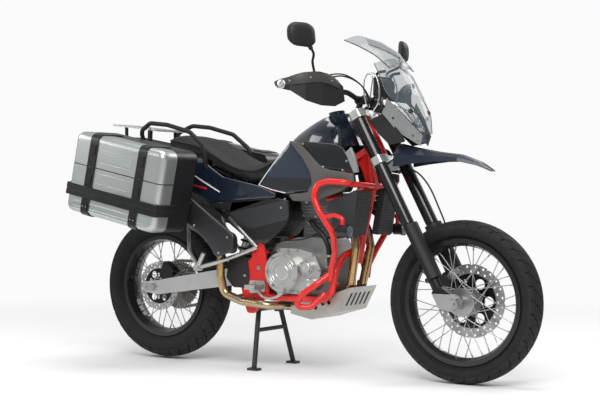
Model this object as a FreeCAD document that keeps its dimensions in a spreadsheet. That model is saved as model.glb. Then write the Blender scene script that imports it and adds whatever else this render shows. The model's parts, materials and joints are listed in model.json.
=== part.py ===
"""Adventure motorcycle with side panniers, standing on its centre stand.

Millimetres, +X forward, +Y to the rider's left, +Z up, floor at Z = 0.
The side view is drawn with the rear axle at X = 0, the swingarm pivot at DRAWN_PIVOT and the
steering head at DRAWN_HEAD. Chassis outlines follow the pivot, front outlines follow the head,
and everything is moved back by origin_x at the end so that the middle of the length is X = 0.
"""
import FreeCAD, Part
import math
import os
import Sketcher

Vector = FreeCAD.Vector
DRAWN_PIVOT = (530.0, 405.0)
DRAWN_HEAD = (1076.0, 1000.0)
RIGHT = -1
LEFT = 1
SIDES = ((RIGHT, "right"), (LEFT, "left"))

SIZES = {
    # Layout
    "origin_x": 728.0,
    "wheelbase": 1510.0,
    "pivot_x": 530.0,
    "pivot_z": 405.0,
    "head_x": 1076.0,
    "head_z": 1000.0,
    "rake_deg": 28.2,
    "clamp_offset": 32.0,
    "axle_lead": 34.0,
    "rear_lift": 6.0,
    "running_gap": 0.3,
    # Wheels
    "front_tyre_radius": 329.5,
    "front_tyre_width": 112.0,
    "front_rim_radius": 256.0,
    "front_rim_width": 72.0,
    "rear_tyre_radius": 328.0,
    "rear_tyre_width": 142.0,
    "rear_rim_radius": 231.0,
    "rear_rim_width": 102.0,
    "rim_depth": 31.0,
    "spoke_radius": 1.9,
    "spoke_count": 36.0,
    "hub_flange_radius": 58.0,
    "hub_barrel_radius": 27.0,
    "front_hub_width": 120.0,
    "rear_hub_width": 180.0,
    "axle_radius": 10.0,
    "front_disc_radius": 150.0,
    "rear_disc_radius": 110.0,
    "disc_thickness": 4.5,
    "front_disc_station": 56.0,
    "rear_disc_station": 74.0,
    "sprocket_radius": 104.0,
    "front_sprocket_radius": 36.0,
    "chain_station": 86.0,
    "chain_width": 16.0,
    "front_sprocket_reach": 90.0,
    "front_sprocket_drop": 8.0,
    # Fork and steering
    "fork_spacing": 105.0,
    "fork_tube_radius": 27.0,
    "fork_leg_radius": 22.5,
    "head_tube_radius": 29.0,
    "stem_radius": 16.0,
    "upper_clamp_rise": 79.0,
    "lower_clamp_drop": 136.0,
    "fork_top": 94.0,
    "fork_tube_end": 426.0,
    "steer_limit_deg": 38.0,
    "foot_half_width": 24.0,
    "clamp_height": 34.0,
    "bar_radius": 11.0,
    "bar_half_width": 432.0,
    # Frame
    "frame_tube_radius": 17.0,
    "cradle_tube_radius": 14.0,
    "cradle_y": 126.3,
    "skid_half_width": 112.0,
    "skid_rear_x": 745.0,
    "crash_tube_radius": 13.0,
    "rack_tube_radius": 8.0,
    "rack_plate": 8.0,
    "rack_hole_half": 84.0,
    "rack_hole_radius": 3.3,
    "swingarm_inner": 98.0,
    "swingarm_outer": 128.0,
    "plate_inner": 132.0,
    "plate_thickness": 9.0,
    # Stands
    "stand_pivot_x": 560.0,
    "stand_pivot_z": 262.0,
    "stand_foot_x": 585.0,
    "stand_foot_spread": 152.0,
    "stand_tube_radius": 11.0,
    "side_stand_x": 740.0,
    "side_stand_z": 244.0,
    "side_stand_y": 156.0,
    "side_stand_length": 238.0,
    "side_stand_tip_deg": 14.6,
    # Panniers
    "pannier_length": 505.0,
    "pannier_height": 355.0,
    "pannier_inner_y": 266.0,
    "pannier_outer_y": 500.0,
    "pannier_base_depth": 74.0,
    "pannier_centre_x": 85.5,
    "pannier_centre_z": 809.5,
    "pannier_tilt_deg": 11.5,
    "pannier_wall": 4.0,
    "pannier_lid_share": 0.4,
    "pannier_corner": 38.0,
    "strap_width": 44.0,
    # Engine
    "crankcase_half_width": 92.0,
    "cover_depth": 48.0,
    "clutch_cover_radius": 82.0,
    "clutch_cover_depth": 32.0,
    "cylinder_half_width": 68.0,
    "header_radius": 18.0,
    "radiator_outer_y": 162.0,
    "lamp_radius": 25.0,
    "silencer_y": 197.0,
    # Body
    "tank_half_width": 188.0,
    "panel_thickness": 10.0,
    "side_cover_y": 158.0,
    "skin_thickness": 4.0,
}

doc = FreeCAD.newDocument("AdventureMotorcycle")
sheet = doc.addObject("Spreadsheet::Sheet", "Sizes")
for row, (alias, value) in enumerate(SIZES.items(), start=1):
    sheet.set("A%d" % row, alias)
    sheet.set("B%d" % row, str(value))
    sheet.setAlias("B%d" % row, alias)
doc.recompute()


def size(alias):
    """The value of one named cell."""
    return float(getattr(sheet, alias))


GAP = size("running_gap")
RAKE = math.radians(size("rake_deg"))
SLOPE = math.tan(RAKE)
FRONT_AXLE_Z = size("front_tyre_radius")
FRONT_AXLE_X = (size("head_x") + (size("head_z") - FRONT_AXLE_Z) * SLOPE
                + (size("clamp_offset") + size("axle_lead")) / math.cos(RAKE))
REAR_AXLE_X = FRONT_AXLE_X - size("wheelbase")
REAR_AXLE_Z = size("rear_tyre_radius") + size("rear_lift")
STEER_AXIS = Vector(-math.sin(RAKE), 0, math.cos(RAKE))
ORIGIN_SHIFT = Vector(-size("origin_x"), 0, 0)


def from_pivot(x, z):
    """A drawn side-view point that follows the swingarm pivot."""
    return (x - DRAWN_PIVOT[0] + size("pivot_x"), z - DRAWN_PIVOT[1] + size("pivot_z"))


def from_head(x, z):
    """A drawn side-view point that follows the steering head."""
    return (x - DRAWN_HEAD[0] + size("head_x"), z - DRAWN_HEAD[1] + size("head_z"))


def between(x, z):
    """A drawn side-view point that shares the pivot's and the head's moves by its place."""
    share = min(1.0, max(0.0, (x - DRAWN_PIVOT[0]) / (DRAWN_HEAD[0] - DRAWN_PIVOT[0])))
    low = from_pivot(x, z)
    high = from_head(x, z)
    return (low[0] + (high[0] - low[0]) * share, low[1] + (high[1] - low[1]) * share)


def placed(point, y):
    """A side-view point at a lateral station."""
    return Vector(point[0], y, point[1])


NODES = []


def keep(label, shape):
    """Store a finished shape as one sub-part of the document."""
    part = doc.addObject("Part::Feature", label)
    part.Shape = shape
    part.Placement = FreeCAD.Placement(ORIGIN_SHIFT, FreeCAD.Rotation()).multiply(shape.Placement)
    part.Label = label
    NODES.append(part)
    return part


def rounded_edges(points, radius, closed):
    """Straight runs joined by tangent arcs through a list of points."""
    count = len(points)
    starts = []
    edges = []
    corners = range(count) if closed else range(1, count - 1)
    cuts = {}
    for i in corners:
        before = points[(i - 1) % count] - points[i]
        after = points[(i + 1) % count] - points[i]
        half = before.getAngle(after) / 2.0
        reach = radius / math.tan(half)
        reach = min(reach, 0.45 * before.Length, 0.45 * after.Length)
        used = reach * math.tan(half)
        before.normalize()
        after.normalize()
        middle = before + after
        middle.normalize()
        centre = points[i] + middle * (used / math.sin(half))
        cuts[i] = (points[i] + before * reach, centre - middle * used, points[i] + after * reach)
    total = count if closed else count - 1
    for i in range(total):
        j = (i + 1) % count
        start = cuts[i][2] if i in cuts else points[i]
        end = cuts[j][0] if j in cuts else points[j]
        if (end - start).Length > 0.01:
            edges.append(Part.LineSegment(start, end).toShape())
        if j in cuts:
            edges.append(Part.Arc(*cuts[j]).toShape())
    return edges


def tube(points, radius, bend):
    """A round bar along straight runs and tangent arcs."""
    path = Part.Wire(rounded_edges(points, bend, False))
    direction = points[1] - points[0]
    ring = Part.Wire([Part.makeCircle(radius, points[0], direction)])
    return path.makePipeShell([ring], True, False)


def rod(start, end, radius):
    """A straight round bar between two points."""
    along = end - start
    return Part.makeCylinder(radius, along.Length, start, along)


def plate(outline, y_from, y_to, radius=0.0):
    """A side-view outline extruded between two lateral stations."""
    points = [Vector(x, y_from, z) for x, z in outline]
    if radius > 0:
        wire = Part.Wire(rounded_edges(points, radius, True))
    else:
        wire = Part.makePolygon(points + [points[0]])
    return Part.Face(wire).extrude(Vector(0, y_to - y_from, 0))


def closed_wire(points):
    """A closed polygon wire."""
    return Part.makePolygon(points + [points[0]])


def smooth_ring(points):
    """A closed smooth curve through the points."""
    curve = Part.BSplineCurve()
    curve.interpolate(points, PeriodicFlag=True)
    return Part.Wire([curve.toShape()])


def loft(wires, ruled=False):
    """A solid skin through closed wires."""
    return Part.makeLoft(wires, True, ruled)


def mirrored(shape, side):
    """The shape on its side: drawn on the left, mirrored for the right."""
    if side == LEFT:
        return shape
    return shape.mirror(Vector(0, 0, 0), Vector(0, 1, 0))


def both_sides(shape):
    """A left-hand shape and its mirror image, not joined."""
    return Part.makeCompound([shape, mirrored(shape, RIGHT)])


def lying_cylinder(radius, x, z, y_from, y_to):
    """A cylinder across the bike."""
    return Part.makeCylinder(radius, y_to - y_from, Vector(x, y_from, z), Vector(0, 1, 0))


# Wheels


def named_profile(body, name, corners):
    """A closed profile on the XY plane: radius along X, lateral place along Y, from named sizes."""
    sketch = body.newObject("Sketcher::SketchObject", name)
    plane = next(f for f in body.Origin.OriginFeatures if f.Role == "XY_Plane")
    sketch.AttachmentSupport = [(plane, "")]
    sketch.MapMode = "FlatFace"
    values = [tuple(float(sketch.evalExpression(e)) for e in corner) for corner in corners]
    count = len(corners)
    for i in range(count):
        start = Vector(values[i][0], values[i][1], 0)
        end = Vector(values[(i + 1) % count][0], values[(i + 1) % count][1], 0)
        sketch.addGeometry(Part.LineSegment(start, end), False)
    for i in range(count):
        sketch.addConstraint(Sketcher.Constraint("Coincident", i, 2, (i + 1) % count, 1))
    for i in range(count):
        for kind, value, expression in zip(("DistanceX", "DistanceY"), values[i], corners[i]):
            index = sketch.addConstraint(Sketcher.Constraint(kind, -1, 1, i, 1, value))
            sketch.setExpression("Constraints[%d]" % index, expression)
    return sketch


def turned_body(label, corners, axle_x, axle_z):
    """A PartDesign body turned about the wheel's axle from a named profile."""
    body = doc.addObject("PartDesign::Body", label)
    sketch = named_profile(body, label + "_profile", corners)
    turn = body.newObject("PartDesign::Revolution", label + "_turned")
    turn.Profile = sketch
    turn.ReferenceAxis = (sketch, ["V_Axis"])
    turn.Angle = 360.0
    body.Label = label
    body.Placement = FreeCAD.Placement(Vector(axle_x, 0, axle_z) + ORIGIN_SHIFT, FreeCAD.Rotation())
    NODES.append(body)
    return body


def tyre(end, axle_x, axle_z):
    """A tyre with rounded shoulders, its beads just inside the rim's flanges."""
    outer = "Sizes.%s_tyre_radius" % end
    half = "Sizes.%s_tyre_width / 2" % end
    rim = "Sizes.%s_rim_radius" % end
    bead = "Sizes.%s_rim_width / 2 - 7 mm" % end
    depth = "(%s - %s)" % (outer, rim)
    profile = [
        (rim + " - 14", bead.replace(" mm", "")),
        (rim + " + 3", bead.replace(" mm", "")),
        (rim + " + 0.30 * " + depth, half + " * 0.93"),
        (rim + " + 0.52 * " + depth, half),
        (outer + " - 0.27 * " + depth, half + " * 0.97"),
        (outer + " - 0.14 * " + depth, half + " * 0.80"),
        (outer + " - 0.045 * " + depth, half + " * 0.48"),
        (outer, half + " * 0.16"),
    ]
    corners = profile + [(x, "-(" + y + ")") for x, y in reversed(profile)]
    return turned_body(end + "_tyre", corners, axle_x, axle_z)


def rim(end, axle_x, axle_z):
    """A spoked wheel's rim: flanges, bead seats and a dropped centre."""
    edge = "Sizes.%s_rim_radius" % end
    half = "Sizes.%s_rim_width / 2" % end
    depth = "Sizes.rim_depth"
    profile = [
        (edge + " - " + depth, half + " * 0.28"),
        (edge + " - " + depth + " + 6", half + " * 0.62"),
        (edge + " - 19", half),
        (edge, half),
        (edge, half + " - 6"),
        (edge + " - 14.5", half + " - 6.5"),
        (edge + " - 15.5", half + " * 0.58"),
        (edge + " - " + depth + " + 7", half + " * 0.24"),
    ]
    corners = profile + [(x, "-(" + y + ")") for x, y in reversed(profile)]
    return turned_body(end + "_rim", corners, axle_x, axle_z)


def spoked_hub(end, width, axle_x, axle_z):
    """A hub with two flanges and crossed wire spokes out to the rim."""
    flange = size("hub_flange_radius")
    barrel = size("hub_barrel_radius")
    bore = size("axle_radius") + GAP
    inner_rim = size(end + "_rim_radius") - size("rim_depth")
    count = int(size("spoke_count"))
    thin = size("spoke_radius")
    flange_y = 34.0
    flange_depth = 7.0
    hub = lying_cylinder(barrel, 0, 0, -width / 2, width / 2)
    parts = []
    for side in (RIGHT, LEFT):
        y = side * flange_y
        parts.append(lying_cylinder(flange, 0, 0, y - flange_depth / 2, y + flange_depth / 2))
    for i in range(count):
        side = LEFT if i % 2 else RIGHT
        lean = 1 if (i // 2) % 2 else -1
        rim_angle = 2 * math.pi * i / count
        hub_angle = rim_angle + lean * math.radians(52)
        hub_y = side * (flange_y + lean * 3.2)
        low = Vector((flange - 5) * math.cos(hub_angle), hub_y, (flange - 5) * math.sin(hub_angle))
        reach = inner_rim + 1.5
        high = Vector(reach * math.cos(rim_angle), side * 6.0, reach * math.sin(rim_angle))
        parts.append(rod(low, high, thin))
    hub = hub.multiFuse(parts)
    limit = lying_cylinder(inner_rim - GAP, 0, 0, -width, width)
    hub = hub.common(limit).cut(lying_cylinder(bore, 0, 0, -width, width))
    hub.translate(Vector(axle_x, 0, axle_z))
    return hub


def disc(radius, y, axle_x, axle_z, waves, holes):
    """A drilled brake disc on its carrier, its edge cut into waves."""
    thick = size("disc_thickness")
    plate_disc = lying_cylinder(radius, 0, 0, y - thick / 2, y + thick / 2)
    cuts = []
    for i in range(waves):
        angle = 2 * math.pi * i / waves
        cuts.append(lying_cylinder(9, (radius + 5) * math.cos(angle), (radius + 5) * math.sin(angle),
                                   y - thick, y + thick))
    for i in range(holes):
        angle = 2 * math.pi * (i + 0.5) / holes
        for share in (0.93, 0.80):
            turn = angle if share > 0.9 else angle + math.pi / holes
            cuts.append(lying_cylinder(5, share * radius * math.cos(turn),
                                       share * radius * math.sin(turn), y - thick, y + thick))
    for i in range(6):
        angle = 2 * math.pi * i / 6
        cuts.append(lying_cylinder(radius * 0.14, 0.53 * radius * math.cos(angle),
                                   0.53 * radius * math.sin(angle), y - thick, y + thick))
    cuts.append(lying_cylinder(size("hub_barrel_radius") + GAP, 0, 0, y - thick, y + thick))
    plate_disc = plate_disc.cut(Part.makeCompound(cuts))
    plate_disc.translate(Vector(axle_x, 0, axle_z))
    return plate_disc


def sprocket(radius, teeth, y, bore, x, z):
    """A chain wheel with rounded tooth gaps."""
    thick = 6.0
    wheel = lying_cylinder(radius, 0, 0, y - thick / 2, y + thick / 2)
    cuts = []
    for i in range(teeth):
        angle = 2 * math.pi * i / teeth
        cuts.append(lying_cylinder(4.6, radius * math.cos(angle), radius * math.sin(angle),
                                   y - thick, y + thick))
    cuts.append(lying_cylinder(bore, 0, 0, y - thick, y + thick))
    wheel = wheel.cut(Part.makeCompound(cuts))
    wheel.translate(Vector(x, 0, z))
    return wheel


tyre("front", FRONT_AXLE_X, FRONT_AXLE_Z)
rim("front", FRONT_AXLE_X, FRONT_AXLE_Z)
keep("front_hub", spoked_hub("front", size("front_hub_width"), FRONT_AXLE_X, FRONT_AXLE_Z))
keep("front_disc", disc(size("front_disc_radius"), size("front_disc_station"), FRONT_AXLE_X,
                        FRONT_AXLE_Z, 12, 24))
tyre("rear", REAR_AXLE_X, REAR_AXLE_Z)
rim("rear", REAR_AXLE_X, REAR_AXLE_Z)
keep("rear_hub", spoked_hub("rear", size("rear_hub_width"), REAR_AXLE_X, REAR_AXLE_Z))
keep("rear_disc", disc(size("rear_disc_radius"), -size("rear_disc_station"), REAR_AXLE_X,
                       REAR_AXLE_Z, 10, 20))
keep("rear_sprocket", sprocket(size("sprocket_radius"), 42, size("chain_station"),
                               size("hub_barrel_radius") + GAP, REAR_AXLE_X, REAR_AXLE_Z))

# Axles, swingarm and final drive


def swingarm():
    """Two box-section arms joined ahead of the tyre by a cross member, on the pivot tube."""
    inner = size("swingarm_inner")
    outer = size("swingarm_outer")
    ax, az = REAR_AXLE_X, REAR_AXLE_Z
    px, pz = size("pivot_x"), size("pivot_z")
    outline = [(ax - 50, az - 24), (ax - 50, az + 20), (ax + 30, az + 30), (px - 130, pz + 24),
               (px + 28, pz + 30), (px + 28, pz - 30), (px - 130, pz - 54), (ax + 30, az - 34)]
    arm = plate(outline, inner, outer, 14)
    arm = arm.cut(lying_cylinder(size("axle_radius") + GAP, ax, az, inner - 1, outer + 1))
    front_edge = px - 110
    cross = plate([(front_edge - 62, pz - 42), (front_edge - 62, pz + 18), (front_edge, pz + 18),
                   (front_edge, pz - 42)], -inner, inner, 10)
    spindle = lying_cylinder(13, px, pz, -size("plate_inner"), size("plate_inner"))
    return arm.fuse([mirrored(arm, RIGHT), cross, spindle])


keep("swingarm", swingarm())


def rear_axle():
    """The rear axle with its end nuts and the spacers beside the hub."""
    x, z = REAR_AXLE_X, REAR_AXLE_Z
    half = size("swingarm_outer")
    axle = lying_cylinder(size("axle_radius"), x, z, -half, half)
    extras = []
    for side, name in SIDES:
        low, high = sorted((side * half, side * (half + 10)))
        extras.append(lying_cylinder(17, x, z, low, high))
        low, high = sorted((side * (size("rear_hub_width") / 2 + GAP), side * size("swingarm_inner")))
        extras.append(lying_cylinder(17, x, z, low, high))
    return axle.fuse(extras)


keep("rear_axle", rear_axle())


def chain():
    """The chain's closed run round both sprockets."""
    small = size("front_sprocket_radius") + 5
    large = size("sprocket_radius") + 5
    x0, z0 = REAR_AXLE_X, REAR_AXLE_Z
    x1 = size("pivot_x") + size("front_sprocket_reach")
    z1 = size("pivot_z") - size("front_sprocket_drop")
    y = size("chain_station")
    half = 4.5
    run = math.hypot(x1 - x0, z1 - z0)
    base = math.atan2(z1 - z0, x1 - x0)
    lean = math.asin((large - small) / run)

    def belt(offset):
        """The belt line round both wheels, offset outward."""
        points = []
        for cx, cz, r, start, end in ((x0, z0, large, base + math.pi / 2 - lean,
                                       base + 3 * math.pi / 2 + lean),
                                      (x1, z1, small, base - math.pi / 2 + lean,
                                       base + math.pi / 2 - lean)):
            steps = 24 if r == large else 10
            for k in range(steps + 1):
                a = start + (end - start) * k / steps
                points.append(Vector(cx + (r + offset) * math.cos(a), y - 8,
                                     cz + (r + offset) * math.sin(a)))
        return Part.Face(closed_wire(points))
    band = belt(half).cut(belt(-half))
    return band.extrude(Vector(0, 16, 0))


keep("chain", Part.makeCompound([chain(), sprocket(
    size("front_sprocket_radius"), 15, size("chain_station"), 12 + GAP,
    size("pivot_x") + size("front_sprocket_reach"),
    size("pivot_z") - size("front_sprocket_drop"))]))

# Frame, crash bars and skid plate


def steering_placement():
    """Local Z up the steering axis, local X forward square to it, origin at the head."""
    return FreeCAD.Placement(Vector(size("head_x"), 0, size("head_z")),
                             FreeCAD.Rotation(Vector(0, 1, 0), -size("rake_deg")))


def in_steering(shape):
    """Move a shape drawn about the steering axis to its place on the bike."""
    moved = shape.copy()
    moved.Placement = steering_placement().multiply(moved.Placement)
    return moved


def at(point, y):
    """A pivot-following side-view point at a lateral station."""
    return placed(from_pivot(*point), y)


def at_head(point, y):
    """A head-following side-view point at a lateral station."""
    return placed(from_head(*point), y)


def head_tube():
    """The hollow steering head between the two clamps."""
    low = -size("lower_clamp_drop") + size("clamp_height") / 2 + GAP
    high = size("upper_clamp_rise") - size("clamp_height") / 2 - GAP
    outer = Part.makeCylinder(size("head_tube_radius"), high - low, Vector(0, 0, low))
    bore = Part.makeCylinder(size("stem_radius") + GAP, high - low + 2, Vector(0, 0, low - 1))
    return in_steering(outer), in_steering(bore)


def side_stand_place():
    """The side stand's pivot point and turning axis, tipped so that the leg opens outward."""
    x, z = from_pivot(size("side_stand_x"), size("side_stand_z"))
    tip = math.radians(size("side_stand_tip_deg"))
    return Vector(x, size("side_stand_y"), z), Vector(0, math.cos(tip), math.sin(tip))


def side_stand_pin():
    """The pin on the left cradle lug that the side stand turns on."""
    point, axis = side_stand_place()
    return rod(point - axis * 26, point + axis * 12, 7)


def front_mount(grow=0.0):
    """The left tube from the gusset out beside the cylinder head, grown all round."""
    return tube([at_head((1085, 800), 8), at((1012, 748), 84), at((915, 738), 95)],
                size("cradle_tube_radius") - 3 + grow, 20)


def main_frame():
    """Head, gussets, single downtube, twin cradle, top tubes and swingarm plates."""
    heavy = size("frame_tube_radius")
    light = size("cradle_tube_radius")
    cy = size("cradle_y")
    py = size("plate_inner")
    outer, bore = head_tube()
    parts = []
    parts.append(tube([at_head((1058, 940), 0), at_head((1080, 786), 0), at((1030, 568), 0),
                       at((1012, 470), 0)], heavy, 60))
    gusset = plate([from_head(1062, 962), from_head(1108, 892), from_head(1082, 876),
                    from_head(1106, 786), from_head(1072, 760), from_head(1040, 850),
                    from_head(1000, 930)], -14, 14, 6)
    parts.append(gusset)
    for side, name in SIDES:
        parts.append(tube([at((1020, 535), 0), at((985, 500), side * 78), at((972, 430), side * cy),
                           at((962, 357), side * cy), at((925, 316), side * cy),
                           at((650, 316), side * cy), at((620, 330), side * (py - 9))], light, 45))
        parts.append(tube([at_head((1052, 940), side * 10), at((930, 852), side * 66),
                           at((640, 770), side * 112), at((596, 640), side * 124),
                           at((592, 545), side * 127)], light, 60))
        parts.append(mirrored(front_mount(), side))
        inner, outer_y = sorted((side * py, side * (py + size("plate_thickness"))))
        parts.append(plate([from_pivot(574, 560), from_pivot(620, 545), from_pivot(646, 440),
                            from_pivot(650, 322), from_pivot(590, 276), from_pivot(578, 244),
                            from_pivot(540, 244), from_pivot(520, 300), from_pivot(500, 380),
                            from_pivot(506, 440), from_pivot(560, 480)], inner, outer_y, 14))
        low, high = sorted((side * (size("crankcase_half_width") + GAP), side * (py + 1)))
        parts.append(lying_cylinder(9, *from_pivot(637, 333), low, high))
        parts.append(lying_cylinder(13, *from_pivot(606, 505), low, high))
        low, high = sorted((side * (size("crankcase_half_width") + GAP), side * cy))
        parts.append(lying_cylinder(12, *from_pivot(962, 380), low, high))
        low, high = sorted((side * 108, side * (py + 1)))
        parts.append(lying_cylinder(17, size("stand_pivot_x"), size("stand_pivot_z"), low, high))
    parts.append(plate([from_pivot(712, 318), from_pivot(768, 318), from_pivot(757, 228),
                        from_pivot(723, 228)], 119, 134, 8))
    parts.append(side_stand_pin())
    frame = outer.multiFuse(parts).cut(bore)
    pivot_bore = lying_cylinder(13 + GAP, size("pivot_x"), size("pivot_z"), -py, py)
    return frame.cut(pivot_bore)


keep("main_frame", main_frame())


def crash_bars():
    """Tubular guards each side: upper loop with its lamp arm, and the lower engine loop."""
    radius = size("crash_tube_radius")
    cy = size("cradle_y") + size("cradle_tube_radius")
    y = cy + radius + GAP
    upper = tube([at_head((1092, 794), size("frame_tube_radius") + GAP),
                  at_head((1086, 800), 168), at_head((1072, 808), 216), at((1000, 812), 224), at((955, 800), 238),
                  at((938, 750), 240), at((966, 690), 240), at((1022, 598), 222),
                  at((1000, 520), 170), at((974, 455), y), at((966, 400), y)], radius, 36)
    arm = tube([at((980, 666), 238), at((1035, 674), 230), at((1072, 662), 230),
                at((1072, 609), 230) + Vector(0, 0, size("lamp_radius") + GAP)], 9, 16)
    lower = tube([at((963, 425), y + 1), at((930, 388), 195), at((876, 345), 224),
                  at((838, 290), 226), at((900, 290), 196), at((944, 345), y)], radius, 26)
    return upper.fuse([arm, lower]).cut(front_mount(GAP))


keep("crash_bars", both_sides(crash_bars()))


def skid_plate():
    """A folded aluminium bash plate: bottom, rising nose and shallow sides."""
    half = size("skid_half_width")
    wall = size("skin_thickness")
    outer = plate([from_pivot(613, 289), from_pivot(733, 252), from_pivot(850, 230),
                   from_pivot(985, 270), from_pivot(1038, 372), from_pivot(956, 344),
                   from_pivot(800, 304), from_pivot(712, 262), from_pivot(613, 294)], -half, half)
    inner = plate([from_pivot(600, 299), from_pivot(733, 258), from_pivot(850, 236),
                   from_pivot(981, 275), from_pivot(1036, 382), from_pivot(1000, 420),
                   from_pivot(600, 420)], -half + wall, half - wall)
    slots = [lying_cylinder(9, *from_pivot(x, z), -half - 1, half + 1)
             for x, z in ((905, 300), (935, 306), (870, 282))]
    x, z = from_pivot(size("skid_rear_x"), 200)
    behind = Part.makeBox(300, 400, 300, Vector(x - 300, -200, z))
    return outer.cut(inner).cut(Part.makeCompound(slots)).cut(behind)


keep("skid_plate", skid_plate())


# Engine and cooling


def sprocket_recess():
    """The room that the chain needs at the left rear of the crankcase."""
    reach = size("front_sprocket_radius") + 24
    x = size("pivot_x") + size("front_sprocket_reach")
    z = size("pivot_z") - size("front_sprocket_drop")
    y = size("chain_station") - size("chain_width") / 2 - 5
    return lying_cylinder(reach, x, z, y, y + 60).fuse(
        Part.makeBox(100, 60, 2 * reach, Vector(x - 100, y, z - reach)))


def crankcase():
    """The engine's lower half: a chamfered casting with a raised gearbox back."""
    half = size("crankcase_half_width")
    return plate([from_pivot(600, 335), from_pivot(612, 470), from_pivot(660, 545),
                  from_pivot(770, 575), from_pivot(905, 575), from_pivot(952, 490),
                  from_pivot(944, 350), from_pivot(890, 302), from_pivot(650, 302)], -half, half,
                 18).cut(sprocket_recess())


keep("crankcase", crankcase())


def round_cover(radius, depth, centre, y, lip):
    """A stepped round cover with a raised rim and a sunk middle."""
    x, z = centre
    base = lying_cylinder(radius, x, z, y, y + depth)
    sunk = lying_cylinder(radius - lip, x, z, y + depth - 5, y + depth + 1)
    boss = lying_cylinder(radius * 0.52, x, z, y, y + depth - 2)
    return base.cut(sunk).fuse(boss)


def clutch_cover():
    """The right-hand cover: a shaped casting with the large clutch lid and a small pump lid."""
    y = size("crankcase_half_width")
    deep = y + size("cover_depth")
    case = plate([from_pivot(653, 362), from_pivot(653, 470), from_pivot(700, 528),
                  from_pivot(800, 528), from_pivot(880, 510), from_pivot(915, 440),
                  from_pivot(890, 358), from_pivot(800, 336), from_pivot(700, 336)], y, deep, 30)
    lid = round_cover(size("clutch_cover_radius"), size("clutch_cover_depth"),
                      from_pivot(735, 429), deep, 9)
    pump = round_cover(30, 20, from_pivot(850, 452), deep, 6)
    oil_filter = round_cover(23, 14, from_pivot(866, 386), deep, 4)
    return mirrored(case.fuse([lid, pump, oil_filter]), RIGHT)


def generator_cover():
    """The left-hand cover: a generator lid and the sprocket guard behind it."""
    y = size("crankcase_half_width")
    deep = y + size("cover_depth") * 0.7
    case = plate([from_pivot(700, 352), from_pivot(716, 500), from_pivot(790, 540),
                  from_pivot(890, 520), from_pivot(925, 430), from_pivot(890, 350),
                  from_pivot(800, 338)], y, deep, 26)
    lid = round_cover(66, 22, from_pivot(815, 430), deep, 8)
    starter_gear = round_cover(17, 10, from_pivot(741, 486), deep, 4)
    return case.fuse([lid, starter_gear])


keep("engine_covers", Part.makeCompound([clutch_cover(), generator_cover()]))


def cylinder_block():
    """The finless water-cooled barrel and twin-cam head on top of the crankcase."""
    half = size("cylinder_half_width")
    barrel = plate([from_pivot(778, 575), from_pivot(908, 575), from_pivot(922, 660),
                    from_pivot(790, 668)], -half, half, 10)
    head = plate([from_pivot(776, 668), from_pivot(926, 658), from_pivot(934, 735),
                  from_pivot(905, 762), from_pivot(800, 768), from_pivot(776, 740)],
                 -half - 14, half + 14, 14)
    flange = plate([from_pivot(770, 660), from_pivot(930, 652), from_pivot(931, 664),
                    from_pivot(771, 672)], -half - 8, half + 8, 3)
    cam_cover = plate([from_pivot(806, 764), from_pivot(812, 782), from_pivot(888, 778),
                       from_pivot(900, 758)], -half + 6, half - 6, 4)
    cam_ends = both_sides(lying_cylinder(15, *from_pivot(806, 728), half + 13, half + 20))
    return barrel.fuse([head, flange, cam_cover, cam_ends])


keep("cylinder_and_head", cylinder_block())


def throttle_body():
    """The intake tract behind the head, into the airbox."""
    a = at((776, 712), 0)
    b = at((716, 712), 0)
    body = rod(a, b, 30)
    ring = rod(at((752, 712), 0), at((738, 712), 0), 38)
    return body.fuse(ring)


def airbox():
    """The airbox under the seat, behind the throttle body."""
    return plate([from_pivot(540, 560), from_pivot(560, 735), from_pivot(716, 752),
                  from_pivot(716, 640), from_pivot(650, 575)], -84, 84, 16)


keep("intake", throttle_body().fuse(airbox()))


def exhaust_pipe():
    """One header: from the head, down ahead of the engine, under it and out to its silencer."""
    radius = size("header_radius")
    port = at((934, 690), 32)
    front = tube([port, at((974, 686), 42), at((1022, 612), 58), at((1036, 540), 60),
                  at((1006, 385), 50), at((966, 300), 44), at((890, 272), 40), at((760, 278), 40),
                  at((710, 280), 66), at((655, 283), 158), at((620, 288), 166),
                  at((530, 296), 168), at((440, 326), 172), at((427, 400), 182),
                  at((434, 512), 192)], radius, 40)
    flange = rod(port, port + Vector(9, 0, 0), radius + 7)
    return front.fuse(flange)




def silencer():
    """A tapered oval can running up beside the tail, with its end cap."""
    y = size("silencer_y")
    stations = ((509, 512, 12, 20), (497, 524, 26, 34), (482, 538, 50, 42), (458, 540, 64, 45),
                (431, 569, 56, 46), (359, 623, 52, 46), (237, 710, 50, 45), (60, 828, 46, 42),
                (28, 850, 36, 34))
    direction = Vector(28 - 482, 0, 850 - 538)
    direction.normalize()
    up = Vector(-direction.z, 0, direction.x)
    if up.z < 0:
        up = up * -1
    rings = []
    for x, z, tall, wide in stations:
        centre = at((x, z), y)
        points = []
        for k in range(12):
            a = 2 * math.pi * k / 12
            points.append(centre + up * (tall * math.sin(a)) + Vector(0, wide * math.cos(a), 0))
        rings.append(smooth_ring(points))
    return loft(rings)


keep("silencers", both_sides(silencer()))
keep("exhaust_pipes", both_sides(exhaust_pipe().cut(silencer()).cut(cylinder_block())))


def radiator():
    """One radiator: core with side tanks, leaning with the downtube."""
    core = plate([from_head(1046, 592), from_head(1076, 588), from_head(1110, 770),
                  from_head(1080, 775)], 50, size("radiator_outer_y"), 3)
    bracket = rod(at_head((1072, 700), 8), at_head((1072, 700), 56), 7)
    return core.fuse(bracket).cut(main_frame())


def radiator_guard():
    """The dark side panel that wraps the radiator's outer edge."""
    outer = size("radiator_outer_y")
    return plate([from_head(970, 731), from_head(1087, 772), from_head(1106, 768),
                  from_head(1078, 590), from_head(1062, 580), from_head(1018, 651),
                  from_head(958, 690)], outer + GAP, outer + GAP + 8, 8)


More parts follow.
